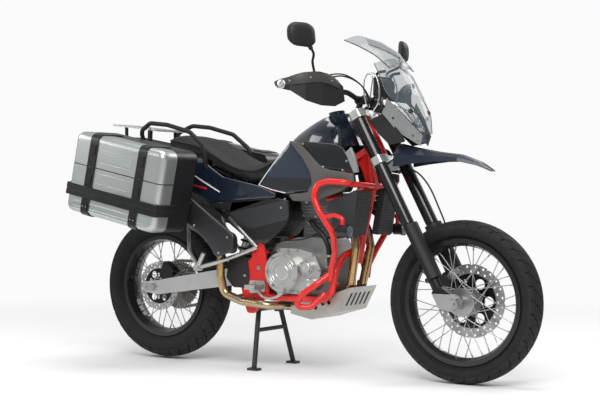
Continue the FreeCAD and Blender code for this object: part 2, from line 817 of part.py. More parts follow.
keep("radiators", both_sides(radiator()))
keep("radiator_guards", both_sides(radiator_guard()))


def aux_lamp():
    """A small driving lamp on the crash bar's arm."""
    x, z = from_pivot(1058, 609)
    y = 230
    body = Part.makeCylinder(size("lamp_radius"), 36, Vector(x, y, z), Vector(1, 0, 0))
    tail = Part.makeCone(14, 21, 16, Vector(x - 16, y, z), Vector(1, 0, 0))
    bezel = Part.makeCylinder(size("lamp_radius") + 3, 12, Vector(x + 36, y, z), Vector(1, 0, 0))
    return body.fuse([tail, bezel])


keep("aux_lamps", both_sides(aux_lamp()))

# Steering assembly, drawn about the steering axis


def clamp(low, height):
    """One fork clamp: a waisted plate round both fork tubes."""
    outline = [(-30, -34), (-30, 34), (2, 118), (14, 138), (58, 138), (68, 100), (52, 30),
               (52, -30), (68, -100), (58, -138), (14, -138), (2, -118)]
    points = [Vector(f, y, low) for f, y in outline]
    body = Part.Face(Part.Wire(rounded_edges(points, 12, True))).extrude(Vector(0, 0, height))
    for side, name in SIDES:
        body = body.cut(Part.makeCylinder(size("fork_tube_radius") + GAP, height + 2,
                                          Vector(size("clamp_offset"), side * size("fork_spacing"),
                                                 low - 1)))
    return body


def triple_clamps():
    """Upper and lower clamps joined by the steering stem."""
    height = size("clamp_height")
    low = -size("lower_clamp_drop") - height / 2
    high = size("upper_clamp_rise") - height / 2
    stem = Part.makeCylinder(size("stem_radius"), high - low + height - 4, Vector(0, 0, low + 2))
    nut = Part.makeCylinder(20, 10, Vector(0, 0, high + height))
    return in_steering(clamp(low, height).multiFuse([clamp(high, height), stem, nut]))


keep("triple_clamps", triple_clamps())


def fork_tubes():
    """The two large outer tubes, with their top caps."""
    legs = []
    for side, name in SIDES:
        base = Vector(size("clamp_offset"), side * size("fork_spacing"), -size("fork_tube_end"))
        leg = Part.makeCylinder(size("fork_tube_radius"), size("fork_tube_end") + size("fork_top"),
                                base)
        cap = Part.makeCylinder(17, 9, base + Vector(0, 0, size("fork_tube_end") + size("fork_top")))
        legs.append(leg.fuse(cap))
    return in_steering(Part.makeCompound(legs))


keep("fork_tubes", fork_tubes())

AXLE_DROP = (size("head_z") - FRONT_AXLE_Z
             + (size("clamp_offset") + size("axle_lead")) * math.sin(RAKE)) / math.cos(RAKE)


def fork_leg():
    """One bright inner leg with its axle foot."""
    x = size("clamp_offset")
    y = size("fork_spacing")
    half = size("foot_half_width")
    leg = Part.makeCylinder(size("fork_leg_radius"), AXLE_DROP - size("fork_tube_end") - 30,
                            Vector(x, y, -AXLE_DROP + 30))
    lead = x + size("axle_lead")
    outline = [(x - 24, -AXLE_DROP + 80), (x + 24, -AXLE_DROP + 80), (lead + 27, -AXLE_DROP + 12),
               (lead + 24, -AXLE_DROP - 24), (lead - 12, -AXLE_DROP - 28), (x - 22, -AXLE_DROP + 6)]
    points = [Vector(f, y - half, s) for f, s in outline]
    foot = Part.Face(Part.Wire(rounded_edges(points, 12, True))).extrude(Vector(0, 2 * half, 0))
    bore = lying_cylinder(size("axle_radius") + GAP, lead, -AXLE_DROP, y - half - 1, y + half + 1)
    collar = Part.makeCylinder(33, 14, Vector(x, y, -AXLE_DROP + 122))
    return leg.fuse([foot, collar]).cut(bore)


keep("fork_legs", in_steering(both_sides(fork_leg())))


def fork_guard():
    """The black shield round the front and outside of one inner leg."""
    x = size("clamp_offset")
    y = size("fork_spacing")
    inner = 33 + GAP
    low = -AXLE_DROP + 124
    high = -size("fork_tube_end") - 6
    shield = Part.makeCylinder(inner + 5, high - low, Vector(x, y, low))
    shield = shield.cut(Part.makeCylinder(inner, high - low + 2, Vector(x, y, low - 1)))
    opening = Part.makeBox(60, 120, high - low + 2, Vector(x - 70, y - 60, low - 1))
    opening.rotate(Vector(x, y, 0), Vector(0, 0, 1), -28)
    return shield.cut(opening)





def front_axle():
    """The hollow axle, its nuts and the two spacers beside the hub."""
    half = size("fork_spacing") + size("foot_half_width")
    hub = size("front_hub_width") / 2
    axle = lying_cylinder(size("axle_radius"), FRONT_AXLE_X, FRONT_AXLE_Z, -half, half)
    inner = size("fork_spacing") - size("foot_half_width")
    extras = []
    for side, name in SIDES:
        low, high = sorted((side * half, side * (half + 8)))
        extras.append(lying_cylinder(16, FRONT_AXLE_X, FRONT_AXLE_Z, low, high))
        low, high = sorted((side * (hub + GAP), side * inner))
        extras.append(lying_cylinder(17, FRONT_AXLE_X, FRONT_AXLE_Z, low, high))
    return axle.fuse(extras)


keep("front_axle", front_axle())


def sector_block(centre, inner, outer, start_deg, end_deg, y_from, y_to):
    """A curved block: a sector of a ring across the bike."""
    x, z = centre
    steps = 6
    points = []
    for radius, order in ((outer, range(steps + 1)), (inner, range(steps, -1, -1))):
        for k in order:
            a = math.radians(start_deg + (end_deg - start_deg) * k / steps)
            points.append(Vector(x + radius * math.cos(a), y_from, z + radius * math.sin(a)))
    return Part.Face(closed_wire(points)).extrude(Vector(0, y_to - y_from, 0))


def caliper(centre, radius, start_deg, end_deg, disc_y, y_from, y_to):
    """A brake caliper straddling its disc."""
    block = sector_block(centre, radius - 48, radius + 12, start_deg, end_deg, y_from, y_to)
    slot = sector_block(centre, radius - 80, radius + 4, start_deg - 8, end_deg + 8,
                        disc_y - 4, disc_y + 4)
    return block.cut(slot)


def front_caliper():
    """The front caliper with the lug that reaches the left fork foot."""
    centre = (FRONT_AXLE_X, FRONT_AXLE_Z)
    block = caliper(centre, size("front_disc_radius"), 136, 168, size("front_disc_station"), 36, 65)
    lug = sector_block(centre, 88, 128, 138, 152, 62, 95)
    return block.fuse(lug).cut(in_steering(fork_leg()))


keep("front_caliper", front_caliper())


def rear_caliper():
    """The rear caliper on the swingarm's inner face."""
    block = caliper((REAR_AXLE_X, REAR_AXLE_Z), size("rear_disc_radius"), 34, 70,
                    -size("rear_disc_station"), -size("swingarm_inner"), -52)
    bracket = plate([(REAR_AXLE_X + 40, REAR_AXLE_Z + 4), (REAR_AXLE_X + 96, REAR_AXLE_Z + 4),
                     (REAR_AXLE_X + 96, REAR_AXLE_Z + 60), (REAR_AXLE_X + 40, REAR_AXLE_Z + 60)],
                    -size("swingarm_inner"), -size("swingarm_inner") + 8, 4)
    return block.fuse(bracket)


keep("rear_caliper", rear_caliper())

BAR_POINTS = ((1046, 1150, 0), (1046, 1150, 55), (1030, 1178, 120), (958, 1198, 250),
              (928, 1196, size("bar_half_width")))


def handlebar():
    """The tapered bar on its two risers."""
    half = [at_head((x, z), y) for x, z, y in BAR_POINTS[1:]]
    bar = tube([at_head((1046, 1150), 0)] + half, size("bar_radius"), 50)
    risers = []
    for side, name in SIDES:
        top = at_head((1046, 1150), side * 46)
        plane = in_steering(Part.Vertex(-2, side * 46,
                                        size("upper_clamp_rise") + size("clamp_height") / 2)).Point
        risers.append(rod(plane, top, 13))
    return bar.fuse([mirrored(bar, RIGHT)] + risers)


keep("handlebar", handlebar().cut(triple_clamps()))


def bar_point(y):
    """The middle of the bar's outer run at a lateral place."""
    start = at_head((BAR_POINTS[3][0], BAR_POINTS[3][1]), BAR_POINTS[3][2])
    end = at_head((BAR_POINTS[4][0], BAR_POINTS[4][1]), BAR_POINTS[4][2])
    share = (y - start.y) / (end.y - start.y)
    return start + (end - start) * share


def grip():
    """A rubber grip with its flange and bar-end weight."""
    out = size("bar_half_width")
    start = bar_point(out - 128)
    end = bar_point(out)
    sleeve = rod(start, end, 16).fuse(rod(start, bar_point(out - 121), 21))
    sleeve = sleeve.cut(rod(bar_point(out - 150), end, size("bar_radius") + GAP))
    weight = Part.makeCylinder(19, 24, end + Vector(0, 2.6, 0), Vector(0, 1, 0))
    collar = rod(bar_point(out - 4), bar_point(out + 4), 16)
    collar = collar.cut(rod(bar_point(out - 9), bar_point(out + 1.2), size("bar_radius") + GAP))
    return sleeve.fuse([weight, collar])


def thin_station(low, high, normal, thickness):
    """A thin four-cornered section between a low and a high point."""
    out = Vector(normal)
    out.normalize()
    out = out * thickness
    return closed_wire([low, high, high + out, low + out])


def hand_guard():
    """The wrap-round guard from the bar end to its inner stay."""
    out = size("bar_half_width") + 26 + GAP
    plan = ((905, out, 1182, 1210, 0, 1), (970, out, 1168, 1222, 0, 1),
            (1022, out - 26, 1130, 1240, 0.6, 0.8), (1058, out - 84, 1112, 1246, 0.9, 0.43),
            (1072, out - 160, 1112, 1232, 1, 0.1), (1074, out - 232, 1136, 1196, 1, 0))
    stations = []
    for x, y, low, high, nx, ny in plan:
        stations.append(thin_station(at_head((x, low), y), at_head((x - 8, high), y),
                                     Vector(nx, ny, 0), size("skin_thickness")))
    shield = loft(stations, True)
    middle = at_head((985.7, 1190.3), 200)
    along = at_head((958, 1198), 250) - at_head((1030, 1178), 120)
    along.normalize()
    ring = rod(middle - along * 8, middle + along * 8, 18)
    stay = rod(at_head((1073, 1166), out - 222), middle, 6)
    bore = rod(middle - along * 24, middle + along * 24, size("bar_radius") + GAP)
    return shield.fuse([ring, stay]).cut(bore).cut(grip())


keep("hand_guards", both_sides(hand_guard()))


PERCH_Y = 284


def lever_set():
    """The perch clamped on the bar, its fluid pot and the lever ahead of the grip."""
    middle = bar_point(PERCH_Y)
    block = Part.makeBox(40, 34, 34, middle + Vector(-16, -17, -14))
    pot = Part.makeCylinder(19, 30, middle + Vector(24, 6, 6), Vector(0, 0, 1))
    lever = tube([middle + Vector(20, 6, -4), middle + Vector(46, 34, -6),
                  middle + Vector(40, 150, -14)], 5, 20)
    body = block.fuse([pot, lever])
    return body.cut(rod(bar_point(PERCH_Y - 30), bar_point(PERCH_Y + 60), size("bar_radius") + GAP))


keep("grips_and_levers", both_sides(Part.makeCompound([grip(), lever_set()])))


def mirror():
    """A mirror head on its curved stem from the perch."""
    base = bar_point(PERCH_Y) + Vector(24, 6, 36 + GAP)
    centre = at_head((990, 1393), 415)
    across = Vector(-0.3, 0.95, 0)
    across.normalize()
    back = Vector(-0.95, -0.3, 0.1)
    back.normalize()
    up = Vector(0, 0, 1)
    outline = ((-72, -28), (-60, 30), (-20, 50), (40, 50), (74, 22), (70, -22), (30, -46), (-40, -48))
    rings = []
    for depth, share in ((-24, 0.45), (-14, 0.85), (0, 1.0), (6, 0.97)):
        rings.append(smooth_ring([centre + across * (a * share) + up * (b * share) + back * depth
                                  for a, b in outline]))
    head = loft(rings)
    stem = tube([base, base + Vector(2, 20, 60), centre + Vector(18, -60, -70),
                 centre + across * -30 + up * -30 - back * 4], 5.5, 40)
    return head.fuse(stem)


keep("mirrors", both_sides(mirror().cut(lever_set())))


def crescent(front, side_point, thickness):
    """A bowed thin section in one plane: a curve round the front and a second curve inside it."""
    fx, fz = from_head(*front)
    sx, sz = from_head(side_point[0], side_point[2])
    back = Vector(sx - fx, 0, sz - fz)
    depth = back.Length
    back.normalize()
    nose = Vector(fx, 0, fz)
    count = 8
    outer = []
    inner = []
    for k in range(count + 1):
        share = 2.0 * k / count - 1
        fall = share * share * depth
        outer.append(nose + back * fall + Vector(0, share * side_point[1], 0))
        inner.append(nose + back * (fall + thickness)
                     + Vector(0, share * (side_point[1] - thickness * 0.4), 0))
    return closed_wire(outer + inner[::-1])


def bowed_sheet(stations):
    """A thin bowed sheet through stations of a front point and a side point."""
    return loft([crescent(front, side, size("skin_thickness")) for front, side in stations], True)


def windscreen():
    """The clear main screen, bowed across and raked back."""
    return bowed_sheet((((1346, 1004), (1330, 52, 1012)), ((1330, 1080), (1288, 112, 1100)),
                        ((1296, 1165), (1228, 146, 1168)), ((1245, 1250), (1188, 142, 1250)),
                        ((1186, 1322), (1146, 108, 1296))))


def visor():
    """The small upper deflector, standing off the screen's top edge."""
    return bowed_sheet((((1240, 1286), (1216, 100, 1274)), ((1190, 1348), (1152, 110, 1328)),
                        ((1106, 1398), (1074, 112, 1370)), ((1020, 1426), (1000, 104, 1400))))


def visor_spacers():
    """The four studs between the screen and the deflector."""
    studs = []
    for y in (-62, 62):
        studs.append(rod(at_head((1196, 1284), y), at_head((1226, 1290), y), 6))
    return studs


def screen_studs():
    """The two studs that hold the screen off the lamp unit."""
    return [rod(at_head((1285, 1046), y), at_head((1323, 1076), y), 6) for y in (-36, 36)]



def beak_fender():
    """The high front fender: an arched beak with a tab under the lower clamp."""
    stations = ((1226, 969, 92, 873), (1300, 952, 88, 884), (1400, 934, 78, 894),
                (1500, 922, 62, 894), (1580, 894, 42, 876), (1632, 862, 16, 852))
    rings = []
    for x, top, wide, low in stations:
        thick = size("skin_thickness")
        hx, hz = from_head(x, top)
        low_z = from_head(x, low)[1]
        outer = [(wide, low_z), (wide * 0.93, low_z + 0.55 * (hz - low_z)), (wide * 0.5, hz - 4),
                 (0, hz)]
        outline = [Vector(hx, y, z) for y, z in outer]
        outline += [Vector(hx, -y, z) for y, z in reversed(outer[:-1])]
        under = [(wide - thick, low_z), (wide * 0.93 - thick, low_z + 0.5 * (hz - low_z)),
                 (wide * 0.47, hz - 4 - thick), (0, hz - thick)]
        outline += [Vector(hx, -y, z) for y, z in under[:-1]]
        outline += [Vector(hx, y, z) for y, z in reversed(under)]
        rings.append(closed_wire(outline))
    beak = loft(rings, True)
    low = -size("lower_clamp_drop") - size("clamp_height") / 2
    tab = in_steering(Part.makeBox(100, 2 * 72, 6, Vector(-4, -72, low - 6)))
    wing = in_steering(Part.makeBox(36, 2 * 85, 6, Vector(64, -85, low - 6)))
    return beak.fuse([tab, wing])


keep("beak_fender", beak_fender())


def fairing_side():
    """The silver nose panel on one side."""
    thick = Vector(0, -size("skin_thickness"), 0)
    rings = []
    for low, low_y, high, high_y in (((1196, 1090), 130, (1216, 1146), 128),
                                     ((1250, 1014), 96, (1278, 1072), 90),
                                     ((1322, 958), 34, (1334, 1000), 40)):
        a = at_head(low, low_y)
        b = at_head(high, high_y)
        rings.append(closed_wire([a, b, b + thick, a + thick]))
    return loft(rings, True)


keep("fairing_sides", both_sides(fairing_side()))


def headlight():
    """The wedge-shaped lamp unit inside the nose."""
    rings = []
    for x, half, low, high in ((1200, 96, 1078, 1140), (1262, 78, 1020, 1082),
                               (1318, 38, 972, 1012)):
        points = [(-half, low + 6), (-half, high - 10), (-half * 0.7, high), (half * 0.7, high),
                  (half, high - 10), (half, low + 6), (half * 0.7, low), (-half * 0.7, low)]
        rings.append(closed_wire([at_head((x, z), y) for y, z in points]))
    return loft(rings, True)


keep("headlight", headlight())
keep("windscreen",
     windscreen().fuse([visor()] + visor_spacers() + screen_studs()).cut(headlight()))


def headlight_stay():
    """The bracket from the upper clamp to the lamp, with the tubular dash frame above."""
    top = size("upper_clamp_rise") + size("clamp_height") / 2
    parts = []
    for side, name in SIDES:
        inner, outer = sorted((side * 60, side * 66))
        parts.append(plate([from_head(1082, 1124), from_head(1100, 1134), from_head(1199.7, 1124),
                            from_head(1199.7, 1084), from_head(1120, 1100), from_head(1106, 1120),
                            from_head(1084, 1115)], inner, outer, 2))
        parts.append(in_steering(Part.makeBox(52, 22, 6, Vector(20, inner - 8, top))))
        parts.append(tube([at_head((1160, 1112), side * 63), at_head((1130, 1200), side * 62),
                           at_head((1126, 1262), side * 60), at_head((1172, 1266), side * 60)],
                           6, 24))
    parts.append(tube([at_head((1126, 1244), -61), at_head((1126, 1244), 61)], 5, 5))
    return parts[0].multiFuse(parts[1:])


def dash():
    """The instrument pod carried on the tubular frame."""
    rings = []
    for depth, half, tall in ((0, 58, 34), (20, 66, 40), (36, 62, 36)):
        centre = at_head((1150 - depth, 1196 + depth * 0.3), 0)
        rings.append(closed_wire([centre + Vector(0, y, z) for y, z in
                                  ((-half, -tall), (half, -tall), (half * 0.94, tall),
                                   (-half * 0.94, tall))]))
    return loft(rings, True)


keep("dash_and_stay", headlight_stay().fuse(dash()))


def fork_shroud():
    """The dark infill panel between one fork tube and the nose."""
    return plate([from_head(1118, 1062), from_head(1196, 1096), from_head(1212, 1092),
                  from_head(1240, 1040), from_head(1288, 974), from_head(1216, 962),
                  from_head(1168, 1004)], 93, 103, 6).cut(headlight()).cut(
                      fairing_side())


keep("fork_guards", Part.makeCompound([in_steering(both_sides(fork_guard())),
                                       both_sides(fork_shroud())]))


# Tank, seat and body panels


def tank_ring(x, top, widest_z, bottom, half, foot):
    """One smooth cross-section of the tank."""
    dx, dz = between(x, 0)
    rise = top - widest_z
    fall = widest_z - bottom
    side = [(half * 0.52, top - 0.12 * rise), (half * 0.88, top - 0.5 * rise), (half, widest_z),
            (half * 0.94, bottom + 0.35 * fall), (foot, bottom)]
    points = [(0, top)] + side + [(0, bottom)]
    points += [(-y, z) for y, z in reversed(side)]
    return smooth_ring([Vector(dx, y, z + dz) for y, z in points])


def fuel_tank():
    """The tank: humped over the frame, notched for the fork at full lock."""
    wide = size("tank_half_width")
    stations = ((704, 980, 942, 905, 74, 50), (740, 1012, 950, 872, 104, 74),
                (815, 1056, 955, 846, 150, 110), (890, 1090, 962, 842, wide * 0.97, 130),
                (950, 1101, 965, 850, wide, 134), (1000, 1084, 960, 862, wide * 0.97, 130),
                (1024, 1040, 950, 876, wide * 0.86, 118))
    body = loft([tank_ring(*station) for station in stations])
    tunnel = plate([between(690, 700), between(690, 872), between(1000, 962),
                    between(1080, 962), between(1080, 700)], -92, 92, 0)
    notch_outline = [(240, 170), (-12, 170), (-62, 152), (-104, 128), (-104, 88), (-80, 50),
                     (-62, 14), (-62, -14), (-80, -50), (-104, -88), (-104, -128), (-62, -152),
                     (-12, -170), (240, -170)]
    points = [Vector(f, y, -220) for f, y in notch_outline]
    notch = in_steering(Part.Face(closed_wire(points)).extrude(Vector(0, 0, 480)))
    side_trim = Part.makeBox(600, 2 * wide, 500, Vector(600, -wide, 700))
    covers = both_sides(side_cover(size("side_cover_y") - GAP, wide + 40))
    return body.common(side_trim).cut(covers).cut(tunnel).cut(notch).fuse(tank_cap())


def tank_cap():
    """The round filler cap on top of the tank."""
    x, z = between(905, 1088)
    return Part.makeCylinder(34, 20, Vector(x, 0, z), Vector(-0.2, 0, 1))


def side_cover(y_from, y_to):
    """The triangular side cover below the tank's rear corner."""
    return plate([between(772, 976), between(611, 795), between(690, 770),
                  between(778, 756), between(878, 768), between(896, 806),
                  between(856, 892)], y_from, y_to, 12)


keep("fuel_tank", fuel_tank())


def side_panels():
    """Each side's dark tank panel, grey shroud and silver trim, as plates."""
    wide = size("tank_half_width")
    thick = size("panel_thickness")
    dark = plate([between(836, 978), between(1030, 963), between(1056, 943),
                  between(1098, 850), between(966, 864), between(937, 904)],
                 wide + GAP, wide + thick, 10)
    shroud = plate([between(779, 979), between(838, 972), between(934, 900),
                    between(962, 868), between(1080, 858), between(1058, 830),
                    between(1052, 770), between(943, 737), between(802, 728),
                    between(791, 751), between(887, 760), between(904, 800),
                    between(862, 900)], wide + GAP, wide + thick, 8)
    trim = plate([between(1050, 930), between(1092, 950), between(1101, 930),
                  between(1101, 853), between(1088, 852)], wide + GAP, wide + thick, 3)
    return dark, shroud, trim


DARK, SHROUD, TRIM = side_panels()
keep("tank_panels", both_sides(DARK))
keep("shrouds", both_sides(SHROUD.fuse(TRIM).cut(DARK)))
keep("side_covers", both_sides(side_cover(size("side_cover_y"),
                                          size("side_cover_y") + size("panel_thickness"))))


def seat():
    """The one-piece seat: crowned passenger pad stepping down to the rider's scoop."""
    stations = ((52, 1010, 986, 84), (120, 1020, 952, 118), (220, 1008, 932, 130),
                (310, 978, 910, 136), (390, 930, 872, 140), (460, 898, 838, 143),
                (550, 890, 806, 140), (625, 914, 836, 112), (672, 956, 880, 82),
                (703.7, 984, 915, 68))
    rings = []
    for x, top, bottom, half in stations:
        dx, dz = from_pivot(x, 0)
        tall = top - bottom
        side = [(half * 0.6, top - 0.05 * tall), (half * 0.93, top - 0.25 * tall),
                (half, bottom + 0.35 * tall), (half * 0.88, bottom + 0.03 * tall)]
        points = [(0, top)] + side + [(0, bottom)]
        points += [(-y, z) for y, z in reversed(side)]
        rings.append(smooth_ring([Vector(dx, y, z + dz) for y, z in points]))
    return loft(rings)


keep("seat", seat())


def tail_panel():
    """The glossy panel under one side of the seat."""
    return plate([from_pivot(182, 800), from_pivot(190, 902), from_pivot(356, 896),
                  from_pivot(424, 822), from_pivot(600, 774), from_pivot(692, 756),
                  from_pivot(690, 742), from_pivot(340, 722)], 146, 146 + size("panel_thickness"),
                 8).cut(rod(at((263, 854), 130), at((259, 844), 170), 13)).cut(
                     rod(at((337, 888), 180), at((316, 840), 126), 15))


def lower_cover():
    """The dark lower cover below the tail panel, with its boss on the frame tube."""
    cover = plate([from_pivot(450, 666), from_pivot(466, 720), from_pivot(701, 738),
                  from_pivot(759, 728), from_pivot(763, 666), from_pivot(738, 621),
                  from_pivot(658, 566), from_pivot(576, 566)], 146, 156, 12)
    boss = rod(at((600, 650), 128), at((600, 650), 150), 9)
    return cover.fuse(boss).cut(main_frame())


keep("tail_panels", both_sides(tail_panel()))


# Subframe, luggage and tail


def subframe():
    """The tubular tail: top rails, lower struts and cross tubes."""
    light = 11
    parts = []
    for side, name in SIDES:
        parts.append(tube([at((600, 742), side * 128), at((430, 770), side * 126),
                           at((180, 880), side * 110), at((-60, 952), side * 92),
                           at((-200, 985), side * 80)], light, 60))
        parts.append(tube([at((545, 560), side * 122), at((430, 640), side * 122),
                           at((100, 884), side * 104)], light - 1, 40))
        parts.append(rod(at((-190, 1075), side * 84), at((-190, 984), side * 81), 8))
        parts.append(rod(at((-40, 1062), side * 88), at((-40, 946), side * 94), 8))
        parts.append(rod(at((180, 880), side * 70), at((180, 960), side * 70), 12))
        parts.append(rod(at((400, 784), side * 70), at((400, 900), side * 70), 12))
    for x, z, half in ((-186, 981, 81), (180, 880, 110), (400, 784, 124), (522, 750, 126)):
        parts.append(rod(at((x, z), -half), at((x, z), half), light - 1))
    parts.append(both_sides(grab_rail()))
    parts.append(both_sides(pannier_rack()))
    tail = parts[0].multiFuse(parts[1:])
    return tail.cut(rack_outline(0, 80)).cut(seat())


def rack_outline(low, high):
    """A slice through the rack's length, measured up from its underside."""
    x0, z0 = from_pivot(-262, 1070)
    x1, z1 = from_pivot(14, 1038)
    return plate([(x0, z0 + low), (x1, z1 + low), (x1, z1 + high), (x0, z0 + high)], -96, 96)


def luggage_rack():
    """The slotted aluminium plate behind the seat."""
    x0, z0 = from_pivot(-262, 1070)
    cuts = [Part.makeBox(170, 16, 120, Vector(x0 + 50, -72 + k * 32, z0 - 80)) for k in range(5)]
    x1, z1 = from_pivot(14, 1038)
    along = Vector(x1 - x0, 0, z1 - z0)
    along.normalize()
    up = Vector(-along.z, 0, along.x)
    middle = Vector((x0 + x1) / 2, 0, (z0 + z1) / 2)
    for a in (-1, 1):
        for b in (-1, 1):
            centre = middle + along * (a * size("rack_hole_half")) + Vector(0, b * 84, 0)
            cuts.append(rod(centre - up * 20, centre + up * 40, size("rack_hole_radius")))
    return rack_outline(0, size("rack_plate")).cut(Part.makeCompound(cuts))


def grab_rail():
    """The black passenger rail beside the seat on one side."""
    return tube([at((-60, 958), 100), at((-60, 1040), 136), at((10, 1074), 156),
                 at((110, 1064), 160), at((240, 1030), 164), at((330, 960), 170),
                 at((332, 876), 172), at((318, 844), 118)], 10, 40)


def pannier_rack():
    """One side's hoop behind the case, with its arms to the tail."""
    y = size("pannier_inner_y") - size("rack_tube_radius") - GAP
    hoop_points = [at((-90, 960), y), at((300, 880), y), at((262, 640), y), at((-130, 720), y)]
    hoop = Part.Wire(rounded_edges(hoop_points, 50, True))
    start = hoop.Edges[0].Vertexes[0].Point
    direction = hoop.Edges[0].tangentAt(hoop.Edges[0].FirstParameter)
    ring = Part.Wire([Part.makeCircle(size("rack_tube_radius"), start, direction)])
    loop = hoop.makePipeShell([ring], True, False)
    arms = [tube([at((-60, 951), y), at((-60, 949), 170), at((-60, 948), 98)], 8, 20),
            tube([at((270, 868), y), at((262, 850), 190), at((258, 842), 116)], 8, 20)]
    return loop.multiFuse(arms)


keep("subframe", subframe())
keep("luggage_rack", luggage_rack())


def pannier_frame(shape, side):
    """Tilt a pannier drawn level about its own middle and set it in place."""
    moved = mirrored(shape, side).copy()
    x, z = from_pivot(size("pannier_centre_x"), size("pannier_centre_z"))
    moved.Placement = FreeCAD.Placement(Vector(x, 0, z), FreeCAD.Rotation(
        Vector(0, 1, 0), size("pannier_tilt_deg"))).multiply(moved.Placement)
    return moved


def rounded_block(length, height, y_from, y_to, radius, grow=0.0):
    """A block across the bike with rounded side-view corners, grown or shrunk evenly."""
    lx = length / 2 + grow
    lz = height / 2 + grow
    return plate([(-lx, -lz), (-lx, lz), (lx, lz), (lx, -lz)], y_from, y_to, radius + grow)


def pannier():
    """One case: an outer wall, split along a seam into a fixed box and an opening lid."""
    length = size("pannier_length")
    height = size("pannier_height")
    inner_y = size("pannier_inner_y")
    outer_y = size("pannier_outer_y")
    wall = size("pannier_wall")
    radius = size("pannier_corner")
    base_y = inner_y + size("pannier_base_depth")
    seam_z = height / 2 - size("pannier_lid_share") * height
    block = rounded_block(length, height, inner_y, outer_y - 5, radius)
    hollow = rounded_block(length, height, inner_y + wall, outer_y - 5 - wall, radius, -wall)
    walls = block.cut(hollow)
    straps = []
    for share in (-0.27, 0.27):
        x = share * length
        strap = rounded_block(length, height, base_y - 10, outer_y, radius, 5.0)
        strap = strap.cut(rounded_block(length, height, base_y - 11, outer_y - 5, radius))
        window = Part.makeBox(size("strap_width"), outer_y, height * 2,
                              Vector(x - size("strap_width") / 2, 1, -height))
        straps.append(strap.common(window))
    whole = walls.multiFuse(straps)
    lid_zone = Part.makeBox(length * 2, outer_y * 2, height,
                            Vector(-length, base_y + GAP, seam_z + GAP))
    body_cut = Part.makeBox(length * 2, outer_y * 2, height, Vector(-length, base_y, seam_z))
    lid = whole.common(lid_zone)
    body = whole.cut(body_cut)
    return body, lid


for side, name in SIDES:
    body, lid = pannier()
    keep("pannier_body_" + name, pannier_frame(body, side))
    keep("pannier_lid_" + name, pannier_frame(lid, side))


def tail_cover():
    """The tapered cover under the rack with the mudguard tongue and a blank plate below."""
    cover = plate([from_pivot(-214, 970), from_pivot(-206, 1020), from_pivot(30, 978),
                   from_pivot(160, 912), from_pivot(160, 894), from_pivot(40, 910)], -66, 66, 10)
    tongue = plate([from_pivot(-190, 975), from_pivot(-212, 985), from_pivot(-330, 800),
                    from_pivot(-372, 690), from_pivot(-364, 688), from_pivot(-318, 800)],
                   -55, 55)
    number = plate([from_pivot(-312, 846), from_pivot(-318, 848), from_pivot(-374, 700),
                    from_pivot(-368, 698)], -90, 90)
    bolt_hole = lying_cylinder(10 + GAP, *from_pivot(-186, 981), -80, 80)
    return cover.fuse([tongue, number]).cut(bolt_hole)


keep("tail_cover", tail_cover())


def rear_lights():
    """The rear lamp at the end of the tail cover, and a stalked indicator on each side."""
    lamp = plate([from_pivot(-236, 976), from_pivot(-240, 1010), from_pivot(-207, 1018),
                  from_pivot(-214.5, 972)], -62, 62, 3)
    stalk = rod(at((-222, 960), 55 + GAP), at((-230, 952), 150), 6)
    pod = Part.makeCone(16, 22, 30, at((-220, 952), 160), Vector(-1, 0.1, 0))
    return Part.makeCompound([lamp, both_sides(stalk.fuse(pod))])


keep("rear_lights", rear_lights().cut(tail_cover()))


def rider_peg():
    """A toothed rider peg on its bracket below the swingarm plate."""
    y = size("plate_inner") + size("plate_thickness")
    bracket = plate([from_pivot(560, 330), from_pivot(560, 386), from_pivot(640, 386),
                     from_pivot(640, 340)], y, y + 14, 8)
    peg = Part.makeBox(50, 78, 20, at((588, 352), y + 14))
    slots = [Part.makeBox(14, 60, 30, at((594 + k * 22, 348), y + 24)) for k in range(2)]
    return bracket.fuse(peg).cut(Part.makeCompound(slots))


def heel_plate():
    """The black heel guard beside the swingarm plate."""
    y = size("plate_inner") + size("plate_thickness") + GAP
    return plate([from_pivot(430, 392), from_pivot(446, 487), from_pivot(540, 487),
                  from_pivot(552, 400), from_pivot(540, 352), from_pivot(470, 352)], y, y + 5, 12)


keep("lower_covers", both_sides(Part.makeCompound([lower_cover(), heel_plate()])))


def passenger_hanger():
    """The tubular hanger that carries a passenger peg."""
    y = size("plate_inner") + size("plate_thickness") + 9 + GAP
    apex = at((596, 528), y)
    eye = at((335, 436), 222)
    lower = tube([apex, at((520, 496), 178), at((436, 462), 219), eye], 9, 40)
    upper = tube([apex, at((500, 610), y), at((432, 652), 122)], 9, 30)
    back = tube([eye, at((258, 508), 186), at((215, 600), 136), at((196, 816), 108)], 8, 30)
    block = rod(at((335, 436), 206), at((335, 436), 240), 15)
    peg = rod(at((338, 442), 230), at((372, 500), 232), 10)
    return lower.fuse([upper, back, block, peg])


keep("footpegs", Part.makeCompound([
    both_sides(rider_peg()), both_sides(passenger_hanger()).cut(subframe())]))

# Stands


def centre_stand():
    """The A-shaped stand: pivot tube, two splayed legs, a brace and foot pads."""
    x, z = size("stand_pivot_x"), size("stand_pivot_z")
    fx = size("stand_foot_x")
    spread = size("stand_foot_spread")
    radius = size("stand_tube_radius")
    pivot = lying_cylinder(15, x, z, -108 + GAP, 108 - GAP)
    parts = []
    for side, name in SIDES:
        top = Vector(x, side * 82, z)
        foot = Vector(fx, side * spread, radius)
        parts.append(rod(top, foot, radius))
        parts.append(Part.makeBox(52, 34, 10, Vector(fx - 26, side * spread - 17, 0)))
        parts.append(rod(Vector(fx, side * spread, radius + 2), Vector(fx, side * spread, 4), radius))
    brace_share = 0.36
    bx = x + (fx - x) * brace_share
    by = 82 + (spread - 82) * brace_share
    parts.append(rod(Vector(bx, -by, z * (1 - brace_share)), Vector(bx, by, z * (1 - brace_share)),
                     radius - 2))
    return pivot.multiFuse(parts)


keep("centre_stand", centre_stand())


